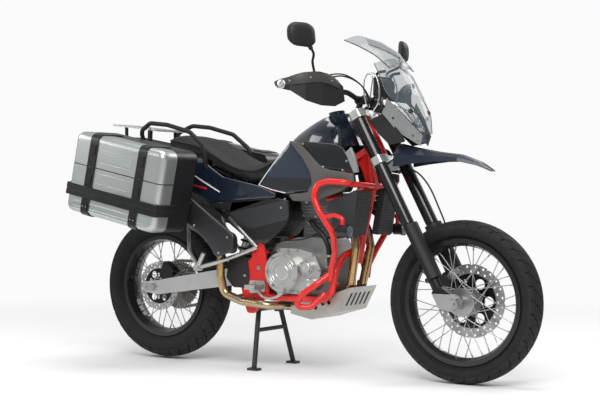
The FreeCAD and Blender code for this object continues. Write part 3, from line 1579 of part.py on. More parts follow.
def side_stand():
    """The side stand, folded back along the left of the cradle."""
    point, axis = side_stand_place()
    reach = size("side_stand_length")
    tip = point + axis * 2 + Vector(-reach, 0, 0)
    knuckle = rod(point - axis * 5, point + axis * 9, 15)
    leg = rod(point + axis * 2, tip, 9)
    foot = Part.makeBox(44, 12, 34, tip + Vector(-22, -6, -17))
    turned = foot.copy()
    turned.rotate(tip, Vector(1, 0, 0), size("side_stand_tip_deg"))
    bore = rod(point - axis * 20, point + axis * 20, 7 + GAP)
    return knuckle.fuse([leg, turned]).cut(bore)


keep("side_stand", side_stand())


def shock():
    """The rear spring and damper between the frame and the swingarm cross member."""
    low = at((405, 422), 0)
    high = at((519, 742), 0)
    along = high - low
    unit = Vector(along)
    unit.normalize()
    damper = rod(low, high, 29)
    cups = [rod(low + unit * 30, low + unit * 42, 40), rod(high - unit * 40, high - unit * 28, 40)]
    return damper.multiFuse(cups)


keep("shock", shock().cut(swingarm()).cut(subframe()))


def write_parts():
    """Check every object and write each sub-part to its own file."""
    doc.recompute()
    for obj in doc.Objects:
        if "Invalid" in obj.State or "Error" in obj.State:
            raise RuntimeError("%s failed: %s" % (obj.Name, obj.State))
    os.makedirs("parts", exist_ok=True)
    for node in NODES:
        shape = node.Shape
        if shape.isNull() or not shape.isValid() or shape.Volume <= 0:
            raise RuntimeError("%s has no valid solid" % node.Label)
        shape.exportStep("parts/%s.step" % node.Label)
        print("%-22s %3d solids %12.0f mm3" % (node.Label, len(shape.Solids), shape.Volume))


write_parts()
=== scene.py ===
"""Finishes for an adventure motorcycle's solid parts, and the detail built over them."""

import json
import logging
import math
from dataclasses import dataclass, field
from enum import Enum
from typing import Callable, Iterable, Protocol, Sequence

import bmesh
import bpy
from mathutils import Matrix, Vector
from mathutils.geometry import delaunay_2d_cdt

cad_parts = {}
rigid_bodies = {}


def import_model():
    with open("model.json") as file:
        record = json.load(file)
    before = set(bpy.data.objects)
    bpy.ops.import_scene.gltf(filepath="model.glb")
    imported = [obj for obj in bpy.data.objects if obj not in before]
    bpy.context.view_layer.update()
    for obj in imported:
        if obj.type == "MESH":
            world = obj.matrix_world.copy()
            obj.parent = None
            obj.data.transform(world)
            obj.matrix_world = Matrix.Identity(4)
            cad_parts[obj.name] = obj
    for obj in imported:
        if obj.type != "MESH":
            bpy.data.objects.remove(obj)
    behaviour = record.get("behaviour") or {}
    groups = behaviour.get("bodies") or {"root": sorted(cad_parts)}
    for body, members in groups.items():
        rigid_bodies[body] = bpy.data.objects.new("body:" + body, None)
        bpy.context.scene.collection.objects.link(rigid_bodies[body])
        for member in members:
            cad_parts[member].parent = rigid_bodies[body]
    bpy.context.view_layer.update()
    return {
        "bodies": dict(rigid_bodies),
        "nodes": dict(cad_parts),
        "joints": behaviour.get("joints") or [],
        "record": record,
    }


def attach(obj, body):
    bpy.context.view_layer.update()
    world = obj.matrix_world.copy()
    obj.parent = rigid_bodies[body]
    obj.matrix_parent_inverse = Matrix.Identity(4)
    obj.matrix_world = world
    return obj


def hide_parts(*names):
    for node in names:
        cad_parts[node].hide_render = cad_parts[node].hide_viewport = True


LOG = logging.getLogger("motorcycle")
Point = tuple[float, float, float]
Colour = tuple[float, float, float]
RIGHT, LEFT = -1, 1
SIDES = ((RIGHT, "right"), (LEFT, "left"))
ORIGIN_X = 728.0
CASE_CENTRE = (85.5, 809.5)
CASE_LEAN = 11.5
# Rows of a triangular grid stand this share of their spacing apart
ROW_RISE = 0.87


def mm(x: float, y: float, z: float) -> Vector:
    """Turn a drawing point, in millimetres ahead of the rear axle, into the scene's metres."""
    return Vector(((x - ORIGIN_X) / 1000, y / 1000, z / 1000))


FRONT_AXLE = mm(1510.4, 0, 329.5)
REAR_AXLE = mm(0.4, 0, 334)


class Body(Enum):
    """The bodies that pieces ride on."""

    CHASSIS = "chassis"
    STEERING = "steering"
    FRONT_WHEEL = "front_wheel"
    REAR_WHEEL = "rear_wheel"
    LID_RIGHT = "pannier_lid_right"
    LID_LEFT = "pannier_lid_left"


# Shader expressions


class Sock:
    """A node socket that takes part in Python arithmetic."""

    def __init__(self, kit: "ShaderKit", socket: bpy.types.NodeSocket) -> None:
        self.kit = kit
        self.socket = socket

    def _math(self, operation: str, *values: "Sock | float") -> "Sock":
        """Add one Math node.

        Args:
            operation: The node's operation.
            values: Its inputs in order.

        Returns:
            The node's value.
        """
        return self.kit.add("ShaderNodeMath", {"operation": operation},
                            dict(enumerate(values))).out(0)

    def __add__(self, other: "Sock | float") -> "Sock":
        """Add."""
        return self._math("ADD", self, other)

    def __radd__(self, other: float) -> "Sock":
        """Add, reflected."""
        return self._math("ADD", other, self)

    def __sub__(self, other: "Sock | float") -> "Sock":
        """Subtract."""
        return self._math("SUBTRACT", self, other)

    def __rsub__(self, other: float) -> "Sock":
        """Subtract, reflected."""
        return self._math("SUBTRACT", other, self)

    def __mul__(self, other: "Sock | float") -> "Sock":
        """Multiply."""
        return self._math("MULTIPLY", self, other)

    def __rmul__(self, other: float) -> "Sock":
        """Multiply, reflected."""
        return self._math("MULTIPLY", other, self)

    def __pow__(self, other: "Sock | float") -> "Sock":
        """Raise to a power."""
        return self._math("POWER", self, other)

    def above(self, level: "Sock | float") -> "Sock":
        """Return 1 where the value is above a level."""
        return self._math("GREATER_THAN", self, level)

    def below(self, level: "Sock | float") -> "Sock":
        """Return 1 where the value is below a level."""
        return self._math("LESS_THAN", self, level)

    def sine(self) -> "Sock":
        """Return the sine."""
        return self._math("SINE", self)

    def size(self) -> "Sock":
        """Return the absolute value."""
        return self._math("ABSOLUTE", self)

    def waves(self, rate: float) -> "Sock":
        """Return waves from 0 to 1 that repeat as the value grows."""
        return (self * rate).sine() * 0.5 + 0.5


class NodeBox:
    """A node just added, with its outputs as Sock values."""

    def __init__(self, kit: "ShaderKit", node: bpy.types.Node) -> None:
        """Keep the node and its kit."""
        self.kit = kit
        self.node = node

    def out(self, key: int | str) -> Sock:
        """Return one output."""
        return Sock(self.kit, self.node.outputs[key])


class ShaderKit:
    """Adds nodes to one material."""

    def __init__(self, name: str) -> None:
        """Start a material that holds only its output and a Principled shader.

        Args:
            name: The material's name.
        """
        self.material = bpy.data.materials.new(name)
        self.material.use_nodes = True
        self.tree = self.material.node_tree
        self.tree.nodes.clear()
        self.output = self.tree.nodes.new("ShaderNodeOutputMaterial")
        self.shader = self.tree.nodes.new("ShaderNodeBsdfPrincipled")
        self.tree.links.new(self.shader.outputs[0], self.output.inputs[0])

    def add(self, kind: str, settings: dict | None = None,
            inputs: dict | None = None) -> NodeBox:
        """Add a node.

        Args:
            kind: The node's type.
            settings: Its own settings, with a ramp's stops under "stops".
            inputs: Values or Sock links by input name or number.

        Returns:
            The node.
        """
        node = self.tree.nodes.new(kind)
        for name, value in (settings or {}).items():
            if name == "stops":
                ramp = node.color_ramp
                while len(ramp.elements) < len(value):
                    ramp.elements.new(0.5)
                for element, (place, colour) in zip(ramp.elements, value):
                    element.position = place
                    element.color = (*colour, 1.0)
            else:
                setattr(node, name, value)
        for key, value in (inputs or {}).items():
            self.join(value, node.inputs[key])
        return NodeBox(self, node)

    def join(self, value: "Sock | float | Sequence[float]", socket: bpy.types.NodeSocket) -> None:
        """Link a Sock to a socket, or set the socket's own value.

        Args:
            value: The link or the value.
            socket: The input.
        """
        if isinstance(value, Sock):
            self.tree.links.new(value.socket, socket)
        else:
            socket.default_value = value

    def place(self, stretch: Point = (1, 1, 1)) -> Sock:
        """Return the object's own coordinates in metres, stretched along each axis.

        Args:
            stretch: A factor for each axis.

        Returns:
            The coordinates.
        """
        here = self.add("ShaderNodeTexCoord").out("Object")
        if stretch == (1, 1, 1):
            return here
        return self.add("ShaderNodeVectorMath", {"operation": "MULTIPLY"},
                        {0: here, 1: stretch}).out(0)

    def noise(self, scale: float, detail: float = 3.0, stretch: Point = (1, 1, 1)) -> Sock:
        """Return a noise value from 0 to 1."""
        return self.add("ShaderNodeTexNoise", {}, {"Vector": self.place(stretch), "Scale": scale,
                                                   "Detail": detail}).out(0)

    def axes(self) -> tuple[Sock, Sock, Sock]:
        """Return the X, Y and Z coordinates as separate values."""
        parts = self.add("ShaderNodeSeparateXYZ", {}, {0: self.place()})
        return parts.out(0), parts.out(1), parts.out(2)

    def blend(self, share: "Sock | float", low: "Sock | Colour", high: "Sock | Colour") -> Sock:
        """Mix two colours.

        Args:
            share: How much of the second, from 0 to 1.
            low: The first colour.
            high: The second colour.

        Returns:
            The mixed colour.
        """
        node = self.tree.nodes.new("ShaderNodeMix")
        node.data_type = "RGBA"
        self.join(share, node.inputs[0])
        for value, key in ((low, 6), (high, 7)):
            self.join(value if isinstance(value, Sock) else (*value, 1.0), node.inputs[key])
        return Sock(self, node.outputs[2])

    def surface(self, **values: "Sock | float | Sequence[float]") -> None:
        """Set the Principled shader's sockets, with underscores for spaces in their names.

        Args:
            values: A value or link for each socket.
        """
        for name, value in values.items():
            if isinstance(value, tuple) and len(value) == 3:
                value = (*value, 1.0)
            self.join(value, self.shader.inputs[name.replace("_", " ")])

    def bump(self, height: Sock, distance: float) -> Sock:
        """Return a bumped normal."""
        return self.add("ShaderNodeBump", {}, {"Height": height, "Distance": distance}).out(0)

    def radius(self, axle: Vector) -> Sock:
        """Return the distance from an axle that lies across the machine.

        Args:
            axle: A point on it.

        Returns:
            The distance in metres.
        """
        x, _, z = self.axes()
        dx = x - axle.x
        dz = z - axle.z
        return (dx * dx + dz * dz) ** 0.5

    def cast(self) -> Sock:
        """Return the height of a sand-cast skin."""
        return self.noise(420, 4) + self.noise(60, 2) * 0.8


# Finishes


class Grain(Enum):
    """The small relief of a surface."""

    FLAT = "flat"
    CAST = "cast"
    BRUSHED_X = "brushed along"
    BRUSHED_Z = "brushed upright"
    MOULDED = "moulded"
    ORANGE_PEEL = "orange peel"
    LEATHER = "leather"


@dataclass(frozen=True)
class Finish:
    """One material: its colour, shine, small relief and wear."""

    name: str
    colour: Colour
    rough: float = 0.5
    metal: float = 0.0
    coat: float = 0.0
    grain: Grain = Grain.MOULDED
    depth: float = 0.0002
    mottle: float = 0.12
    dust: float = 0.0
    tint: Colour | None = None
    sheen: float = 0.28

    def relief(self, kit: ShaderKit) -> Sock | None:
        """Return the height pattern of this finish's grain.

        Args:
            kit: The material being built.

        Returns:
            The height, or nothing for a flat surface.
        """
        if self.grain is Grain.CAST:
            return kit.cast()
        if self.grain is Grain.BRUSHED_X:
            return kit.noise(260, 4, (0.04, 1, 1))
        if self.grain is Grain.BRUSHED_Z:
            return kit.noise(260, 4, (1, 1, 0.04))
        if self.grain is Grain.MOULDED:
            return kit.noise(900, 2)
        if self.grain is Grain.ORANGE_PEEL:
            return kit.noise(160, 1)
        if self.grain is Grain.LEATHER:
            cells = kit.add("ShaderNodeTexVoronoi", {"feature": "DISTANCE_TO_EDGE"},
                            {"Vector": kit.place(), "Scale": 420.0}).out(0)
            return cells * 1.6 + kit.noise(700, 2) * 0.3
        return None

    def build(self) -> bpy.types.Material:
        """Make the Blender material.

        Returns:
            The material.
        """
        kit = ShaderKit(self.name)
        patch = kit.noise(14, 4)
        dark = tuple(c * (1 - self.mottle) for c in self.colour)
        light = self.tint or tuple(min(1.0, c * (1 + self.mottle)) for c in self.colour)
        colour = kit.blend(patch, dark, light)
        if self.dust:
            _, _, height = kit.axes()
            low = (0.55 - height) * 1.8
            spots = kit.noise(38, 5) * low * self.dust
            colour = kit.blend(spots, colour, (0.23, 0.2, 0.17))
        rough = kit.noise(45, 3) * (0.22 * self.rough) + self.rough * 0.89
        kit.surface(Base_Color=colour, Roughness=rough, Metallic=self.metal, Coat_Weight=self.coat,
                    Coat_Roughness=0.06, Specular_IOR_Level=self.sheen)
        height = self.relief(kit)
        if height is not None:
            kit.surface(Normal=kit.bump(height, self.depth))
        return kit.material


@dataclass(frozen=True)
class TwoTone:
    """Gloss paint, dark blue above a level and near black below it."""

    name: str
    upper: Colour
    lower: Colour
    level: float

    def build(self) -> bpy.types.Material:
        """Make the Blender material.

        Returns:
            The material.
        """
        kit = ShaderKit(self.name)
        x, _, z = kit.axes()
        share = z.above(x * -0.03 + self.level)
        colour = kit.blend(share, self.lower, self.upper)
        colour = kit.blend(kit.noise(18, 3) * 0.35, colour, (0.02, 0.026, 0.034))
        kit.surface(Base_Color=colour, Roughness=kit.noise(50, 2) * 0.06 + 0.16, Coat_Weight=1.0,
                    Coat_Roughness=0.04, Normal=kit.bump(kit.noise(160, 1), 0.00004))
        return kit.material


@dataclass(frozen=True)
class HeatTint:
    """Stainless header pipe, straw to brown with heat."""

    name: str = "header_steel"

    def build(self) -> bpy.types.Material:
        """Make the Blender material.

        Returns:
            The material.
        """
        kit = ShaderKit(self.name)
        _, _, z = kit.axes()
        run = z * 1.6 + kit.noise(9, 3) * 0.5 - 0.45
        ramp = kit.add("ShaderNodeValToRGB",
                       {"stops": ((0.0, (0.42, 0.38, 0.32)), (0.35, (0.5, 0.37, 0.2)),
                                  (0.6, (0.42, 0.25, 0.1)), (0.82, (0.3, 0.2, 0.2)),
                                  (1.0, (0.45, 0.4, 0.34)))}, {0: run}).out(0)
        kit.surface(Base_Color=ramp, Metallic=1.0, Roughness=kit.noise(60, 3) * 0.16 + 0.2,
                    Normal=kit.bump(kit.noise(300, 3, (0.3, 1, 0.3)), 0.00012))
        return kit.material


@dataclass(frozen=True)
class TyreRubber:
    """Tyre rubber, dusty in the grooves and ringed on the side walls."""

    name: str
    axle: Vector
    tread_from: float

    def build(self) -> bpy.types.Material:
        """Make the Blender material.

        Returns:
            The material.
        """
        kit = ShaderKit(self.name)
        radius = kit.radius(self.axle)
        rings = radius.waves(1400.0)
        wall = radius.below(self.tread_from)
        colour = kit.blend(kit.noise(30, 5), (0.006, 0.006, 0.007), (0.018, 0.018, 0.018))
        scuff = radius.above(self.tread_from) * kit.noise(120, 4) * 0.5
        colour = kit.blend(scuff, colour, (0.035, 0.034, 0.032))
        height = rings * wall * 0.5 + kit.noise(500, 3)
        kit.surface(Base_Color=colour, Roughness=kit.noise(70, 3) * 0.2 + 0.6,
                    Normal=kit.bump(height, 0.0004), Specular_IOR_Level=0.22)
        return kit.material


@dataclass(frozen=True)
class DiscSteel:
    """Ground brake disc, its swept ring bright and its middle dark."""

    name: str
    axle: Vector
    ring_from: float

    def build(self) -> bpy.types.Material:
        """Make the Blender material.

        Returns:
            The material.
        """
        kit = ShaderKit(self.name)
        radius = kit.radius(self.axle)
        ring = radius.above(self.ring_from)
        ground = radius.waves(4200.0)
        bright = kit.blend(kit.noise(40, 3), (0.34, 0.34, 0.34), (0.5, 0.5, 0.49))
        kit.surface(Base_Color=kit.blend(ring, (0.03, 0.03, 0.032), bright), Metallic=1.0,
                    Roughness=kit.noise(60, 3) * 0.12 + 0.24,
                    Normal=kit.bump(ground * ring, 0.00008))
        return kit.material


@dataclass(frozen=True)
class ForkLeg:
    """Black sliding leg above a bright cast foot."""

    name: str = "fork_leg"
    foot_top: float = 0.366

    def build(self) -> bpy.types.Material:
        """Make the Blender material.

        Returns:
            The material.
        """
        kit = ShaderKit(self.name)
        _, _, z = kit.axes()
        leg = z.above(self.foot_top)
        cast = kit.cast()
        alloy = kit.blend(kit.noise(16, 3), (0.34, 0.34, 0.335), (0.5, 0.5, 0.49))
        kit.surface(Base_Color=kit.blend(leg, alloy, (0.01, 0.01, 0.011)),
                    Metallic=0.9 - leg * 0.7, Roughness=kit.noise(45, 3) * 0.06 + 0.32,
                    Normal=kit.bump(cast * (1.0 - leg), 0.0002), Specular_IOR_Level=0.3)
        return kit.material


@dataclass(frozen=True)
class ScreenPlastic:
    """Clear, lightly smoked screen."""

    name: str = "screen_clear"
    colour: Colour = (0.11, 0.135, 0.15)

    def build(self) -> bpy.types.Material:
        """Make the Blender material.

        Returns:
            The material.
        """
        kit = ShaderKit(self.name)
        kit.surface(Base_Color=self.colour, Roughness=0.07, Specular_IOR_Level=0.45,
                    Alpha=kit.noise(12, 2) * 0.06 + 0.27)
        return kit.material


@dataclass(frozen=True)
class RadiatorCore:
    """Fine radiator fins and tubes in dark grey, with painted shade in the gaps between them."""

    name: str = "radiator_core"

    def build(self) -> bpy.types.Material:
        """Make the Blender material.

        Returns:
            The material.
        """
        kit = ShaderKit(self.name)
        _, y, z = kit.axes()
        tubes = z.waves(900.0)
        fins = y.waves(3200.0)
        # The tubes and fins keep their dark grey; the near-black between them is painted shade in
        # the gaps.
        mesh = tubes.above(0.72) * 0.7 + fins * 0.4
        kit.surface(Base_Color=kit.blend(mesh, (0.006, 0.006, 0.007), (0.085, 0.085, 0.09)),
                    Metallic=0.6, Roughness=kit.noise(50, 2) * 0.2 + 0.42,
                    Normal=kit.bump(mesh, 0.0012))
        return kit.material


@dataclass(frozen=True)
class Lens:
    """A clear or coloured lamp lens over a bright reflector."""

    name: str
    colour: Colour

    def build(self) -> bpy.types.Material:
        """Make the Blender material.

        Returns:
            The material.
        """
        kit = ShaderKit(self.name)
        _, y, _ = kit.axes()
        flutes = y.waves(900.0)
        dark = tuple(c * 0.55 for c in self.colour)
        kit.surface(Base_Color=kit.blend(flutes, dark, self.colour), Roughness=0.08, Metallic=0.35,
                    Coat_Weight=1.0, Coat_Roughness=0.02, Normal=kit.bump(flutes, 0.0008))
        return kit.material


# Meshes


@dataclass
class Mesh:
    """Vertices and faces being gathered for one piece."""

    points: list[Vector] = field(default_factory=list)
    faces: list[tuple[int, ...]] = field(default_factory=list)

    def add(self, points: Iterable[Vector], faces: Iterable[Sequence[int]]) -> "Mesh":
        """Append points and the faces that index them.

        Args:
            points: The points.
            faces: Their faces, counted from the first new point.

        Returns:
            This mesh.
        """
        start = len(self.points)
        self.points.extend(Vector(p) for p in points)
        self.faces.extend(tuple(start + i for i in face) for face in faces)
        return self

    def join(self, other: "Mesh") -> "Mesh":
        """Append another mesh."""
        return self.add(other.points, other.faces)

    def mirrored(self) -> "Mesh":
        """Return this mesh reflected across the middle plane."""
        return Mesh([Vector((p.x, -p.y, p.z)) for p in self.points],
                    [tuple(reversed(face)) for face in self.faces])

    def both(self) -> "Mesh":
        """Return this mesh with its reflection."""
        return Mesh().join(self).join(self.mirrored())


def angles(count: int) -> list[float]:
    """Return evenly spaced angles round a circle."""
    return [2 * math.pi * k / count for k in range(count)]


def about(axle: Vector, radius: float, y: float, angle: float) -> Vector:
    """Return a point at a radius and angle round a line across, and y along it."""
    return axle + Vector((radius * math.cos(angle), y, radius * math.sin(angle)))


def loft(rings: Sequence[Sequence[Vector]], caps: bool = True) -> Mesh:
    """Join closed rings of equal count into a skin.

    Args:
        rings: The rings in order.
        caps: Whether to close both ends.

    Returns:
        The mesh.
    """
    count = len(rings[0])
    faces: list[tuple[int, ...]] = []
    for r in range(len(rings) - 1):
        for i in range(count):
            j = (i + 1) % count
            faces.append((r * count + i, r * count + j, (r + 1) * count + j, (r + 1) * count + i))
    if caps:
        faces.append(tuple(reversed(range(count))))
        faces.append(tuple((len(rings) - 1) * count + i for i in range(count)))
    return Mesh().add([p for ring in rings for p in ring], faces)


def smooth_path(points: Sequence[Vector], steps: int = 6) -> list[Vector]:
    """Sample a rounded path through points.

    Args:
        points: The points that it passes through.
        steps: Samples in each span.

    Returns:
        The samples.
    """
    ends = [points[0] * 2 - points[1], *points, points[-1] * 2 - points[-2]]
    path: list[Vector] = []
    for a, b, c, d in zip(ends, ends[1:], ends[2:], ends[3:]):
        for k in range(steps):
            t = k / steps
            path.append(0.5 * (2 * b + (c - a) * t + (2 * a - 5 * b + 4 * c - d) * t * t
                               + (3 * b - a - 3 * c + d) * t * t * t))
    path.append(Vector(points[-1]))
    return path


def sweep(path: Sequence[Vector], radius: float | Sequence[float], sides: int = 12) -> Mesh:
    """Run a round section along a path.

    Args:
        path: The middle line.
        radius: One radius, or one for each point.
        sides: The section's corner count.

    Returns:
        The closed tube.
    """
    rings = []
    normal = Vector((0, 0, 1))
    for i, point in enumerate(path):
        ahead = path[min(i + 1, len(path) - 1)] - path[max(i - 1, 0)]
        ahead.normalize()
        if i == 0 and abs(ahead.dot(normal)) > 0.9:
            normal = Vector((1, 0, 0))
        normal = (normal - ahead * normal.dot(ahead)).normalized()
        across = ahead.cross(normal)
        r = radius if isinstance(radius, float) else radius[i]
        rings.append([point + (normal * math.cos(a) + across * math.sin(a)) * r
                      for a in angles(sides)])
    return loft(rings)


def hose(points: Sequence[Vector], radius: float, sides: int = 10) -> Mesh:
    """Make a smooth round hose through points."""
    return sweep(smooth_path(points), radius, sides)


def pipe(points: Iterable[Point], radius: float, sides: int = 10, side: int = 1) -> Mesh:
    """Make a smooth round pipe through drawing points, reflected where side is -1."""
    return hose([mm(x, side * y, z) for x, y, z in points], radius, sides)


def twin_pipes(points: Sequence[Point], radius: float, sides: int = 10) -> Mesh:
    """Make a pipe through drawing points on each side."""
    right, left = (pipe(points, radius, sides, side) for side, _ in SIDES)
    return right.join(left)


def spun(profile: Sequence[tuple[float, float]], centre: Vector, axis: Vector,
         sides: int = 24) -> Mesh:
    """Turn a profile about an axis.

    Args:
        profile: Radius and distance along the axis for each corner.
        centre: A point on the axis.
        axis: The axis.
        sides: The corner count round it.

    Returns:
        The mesh, closed at both ends.
    """
    axis = axis.normalized()
    side = axis.orthogonal().normalized()
    other = axis.cross(side)
    rings = [[centre + axis * along + (side * math.cos(a) + other * math.sin(a)) * radius
              for a in angles(sides)] for radius, along in profile]
    return loft(rings)


def turned_ring(profile: Sequence[tuple[float, float]], centre: Vector, sides: int = 96) -> Mesh:
    """Turn a closed profile of radius and Y about the Y axis into a ring.

    Args:
        profile: Its corners as radius and Y.
        centre: Its middle.
        sides: The corner count.

    Returns:
        The ring.
    """
    count = len(profile)
    points = []
    faces = []
    for k, angle in enumerate(angles(sides)):
        points += [about(centre, r, y, angle) for r, y in profile]
        n = (k + 1) % sides
        for i in range(count):
            j = (i + 1) % count
            faces.append((k * count + i, k * count + j, n * count + j, n * count + i))
    return Mesh().add(points, faces)


def slab(outline: Sequence[Vector], offset: Vector) -> Mesh:
    """Push a flat outline along an offset."""
    return loft([list(outline), [p + offset for p in outline]])


def bolt(centre: Vector, axis: Vector, radius: float, height: float) -> Mesh:
    """Make a hexagon head on a washer.

    Args:
        centre: The middle of its seat.
        axis: The direction that it points in.
        radius: The head's corner radius in metres.
        height: The head's height in metres.

    Returns:
        The bolt.
    """
    axis = axis.normalized()
    base, washer, boss = height * 0.25, radius * 1.35, radius * 0.5
    parts = spun(((washer, -height * 0.2), (washer, base)), centre, axis, 16)
    parts.join(spun(((radius, base - height * 0.2), (radius, base + height * 0.85),
                     (radius * 0.82, base + height)), centre, axis, 6))
    return parts.join(spun(((boss, base + height * 0.9), (boss, base + height * 1.04)),
                           centre, axis, 10))


def cap_screw(centre: Vector, axis: Vector, radius: float, height: float) -> Mesh:
    """Make a round socket-head screw with a hollow drive.

    Args:
        centre: The middle of its seat.
        axis: The direction that it points in.
        radius: The head's radius in metres.
        height: The head's height in metres.

    Returns:
        The screw.
    """
    return spun(((radius, -height * 0.3), (radius, height * 0.8), (radius * 0.86, height),
                 (radius * 0.55, height), (radius * 0.5, height * 0.35), (0.0001, height * 0.35)),
                centre, axis, 14)


def rounded_outline(points: Sequence[tuple[float, float]], radius: float,
                    steps: int = 4) -> list[tuple[float, float]]:
    """Round the corners of a flat outline.

    Args:
        points: The corners in order.
        radius: How far a corner is cut back.
        steps: Samples in each corner.

    Returns:
        The rounded outline.
    """
    result = []
    count = len(points)
    for i, point in enumerate(points):
        here = Vector(point)
        before = Vector(points[i - 1]) - here
        after = Vector(points[(i + 1) % count]) - here
        cut = min(radius, before.length * 0.45, after.length * 0.45)
        a = here + before.normalized() * cut
        b = here + after.normalized() * cut
        for k in range(steps + 1):
            t = k / steps
            p = a * (1 - t) ** 2 + here * (2 * t * (1 - t)) + b * t * t
            result.append((p.x, p.y))
    return result


class Coating(Protocol):
    """What the workshop needs to know of a finish."""

    @property
    def name(self) -> str:
        """Return the material's name."""

    def build(self) -> bpy.types.Material:
        """Make the Blender material."""


@dataclass
class Workshop:
    """Makes Blender objects from meshes and remembers the finishes."""

    made: dict[str, bpy.types.Material] = field(default_factory=dict)

    def coat(self, finish: Coating) -> bpy.types.Material:
        """Return the material for a finish, built once.

        Args:
            finish: The finish.

        Returns:
            Its material.
        """
        if finish.name not in self.made:
            self.made[finish.name] = finish.build()
        return self.made[finish.name]

    def piece(self, name: str, mesh: Mesh, body: Body, finish: Coating,
              smooth: float = 40.0, bevel: float = 0.0,
              stands_for: Sequence[str] = ()) -> bpy.types.Object:
        """Make one piece.

        Args:
            name: Its name.
            mesh: Its vertices and faces.
            body: The body that it rides on.
            finish: Its finish.
            smooth: Faces meeting under this angle, in degrees, shade smoothly.
            bevel: Edge bevel in metres.
            stands_for: Solids that it replaces.

        Returns:
            The object.
        """
        data = bpy.data.meshes.new(name)
        data.from_pydata([tuple(p) for p in mesh.points], [], mesh.faces)
        work = bmesh.new()
        work.from_mesh(data)
        bmesh.ops.remove_doubles(work, verts=work.verts, dist=1e-6)
        bmesh.ops.recalc_face_normals(work, faces=work.faces)
        work.to_mesh(data)
        work.free()
        data.materials.append(self.coat(finish))
        thing = bpy.data.objects.new(name, data)
        bpy.context.scene.collection.objects.link(thing)
        if bevel:
            edge = thing.modifiers.new("bevel", "BEVEL")
            edge.width = bevel
            edge.segments = 2
            edge.limit_method = "ANGLE"
            edge.angle_limit = math.radians(35)
        if smooth:
            data.shade_smooth()
            data.set_sharp_from_angle(angle=math.radians(smooth))
        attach(thing, body.value)
        if stands_for:
            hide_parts(*stands_for)
        LOG.info("piece %s on %s", name, body.value)
        return thing

    def dress(self, frame: dict, finish: Coating, *nodes: str) -> None:
        """Give solid parts a finish, with their shading left as packed.

        Args:
            frame: The loaded solid parts.
            finish: The finish.
            nodes: The solid parts' names.
        """
        for node in nodes:
            thing = frame["nodes"][node]
            for place in thing.material_slots:
                place.material = self.coat(finish)


def inside(outline: Sequence[tuple[float, float]], x: float, z: float) -> bool:
    """Tell whether a place is inside a flat outline.

    Args:
        outline: Its corners as length and height.
        x: Length in drawing millimetres.
        z: Height in drawing millimetres.

    Returns:
        Whether it is inside.
    """
    odd = False
    for i, (ax, az) in enumerate(outline):
        bx, bz = outline[i - 1]
        if (az > z) != (bz > z) and x < (bx - ax) * (z - az) / (bz - az) + ax:
            odd = not odd
    return odd


def edge_distance(outline: Sequence[tuple[float, float]], x: float, z: float) -> float:
    """Return how far a place is from the nearest edge of a flat outline.

    Args:
        outline: Its corners as length and height.
        x: Length in drawing millimetres.
        z: Height in drawing millimetres.

    Returns:
        The distance.
    """
    best = math.inf
    here = Vector((x, z))
    for i, point in enumerate(outline):
        a = Vector(outline[i - 1])
        run = Vector(point) - a
        share = min(1.0, max(0.0, (here - a).dot(run) / max(run.length_squared, 1e-9)))
        best = min(best, (a + run * share - here).length)
    return best


def moulding(outline: Sequence[tuple[float, float]], face: Callable[[float, float], float],
             side: int, thick: float = 8.0, roll: float = 9.0, radius: float = 12.0,
             step: float = 9.0) -> Mesh:
    """Make a moulded side panel over any outline, with rolled edges.

    Args:
        outline: Corners as length and height in drawing millimetres.
        face: The face's distance from the middle plane at a place.
        side: 1 on the left, -1 on the right.
        thick: How far its edge turns inward.
        roll: Radius of the rolled edge.
        radius: Corner rounding in side view.
        step: Spacing of the points inside.

    Returns:
        The closed panel.
    """
    rounded = rounded_outline(outline, radius)
    ring: list[tuple[float, float]] = []
    for i, point in enumerate(rounded):
        a, b = Vector(rounded[i - 1]), Vector(point)
        parts = max(1, int((b - a).length / step))
        ring += [tuple(a.lerp(b, k / parts)) for k in range(parts)]
    places = [Vector(p) for p in ring]
    low_x, high_x = min(p[0] for p in ring), max(p[0] for p in ring)
    low_z, high_z = min(p[1] for p in ring), max(p[1] for p in ring)
    inner_rings = []
    for depth in (roll * 0.12, roll * 0.42, roll):
        shrunk = []
        for i, point in enumerate(ring):
            before, after = Vector(ring[i - 1]), Vector(ring[(i + 1) % len(ring)])
            run = (after - before).normalized()
            spot = Vector(point) + Vector((-run.y, run.x)) * depth
            if not inside(ring, spot.x, spot.y):
                spot = Vector(point) - Vector((-run.y, run.x)) * depth
            if inside(ring, spot.x, spot.y) and edge_distance(ring, spot.x, spot.y) > depth * 0.93:
                shrunk.append(spot)
        inner_rings += shrunk
    places += inner_rings
    row = 0
    z = low_z + step / 2
    while z < high_z:
        x = low_x + step / 2 + (step / 2 if row % 2 else 0)
        while x < high_x:
            if inside(ring, x, z) and edge_distance(ring, x, z) > roll + step * 0.5:
                places.append(Vector((x, z)))
            x += step
        z += step * ROW_RISE
        row += 1
    loop = [tuple(range(len(ring)))]
    flat, _, faces, *_ = delaunay_2d_cdt(places, [], loop, 1, 1e-4)
    front = []
    back = []
    for p in flat:
        inward = roll - min(roll, edge_distance(ring, p.x, p.y))
        drop = roll - math.sqrt(max(0.0, roll * roll - inward * inward))
        out = face(p.x, p.y)
        front.append(mm(p.x, side * (out - drop), p.y))
        back.append(mm(p.x, side * (out - roll - thick), p.y))
    mesh = Mesh().add(front, faces)
    border: dict[tuple[int, int], int] = {}
    for tri in faces:
        for a, b in zip(tri, (*tri[1:], tri[0])):
            border[(a, b)] = border.get((a, b), 0) + 1
    rim = [(a, b) for a, b in border if (b, a) not in border]
    start = len(mesh.points)
    mesh.add(back, [tuple(reversed(tri)) for tri in faces])
    mesh.faces += [(b, a, start + a, start + b) for a, b in rim]
    return mesh


# Finishes of this motorcycle

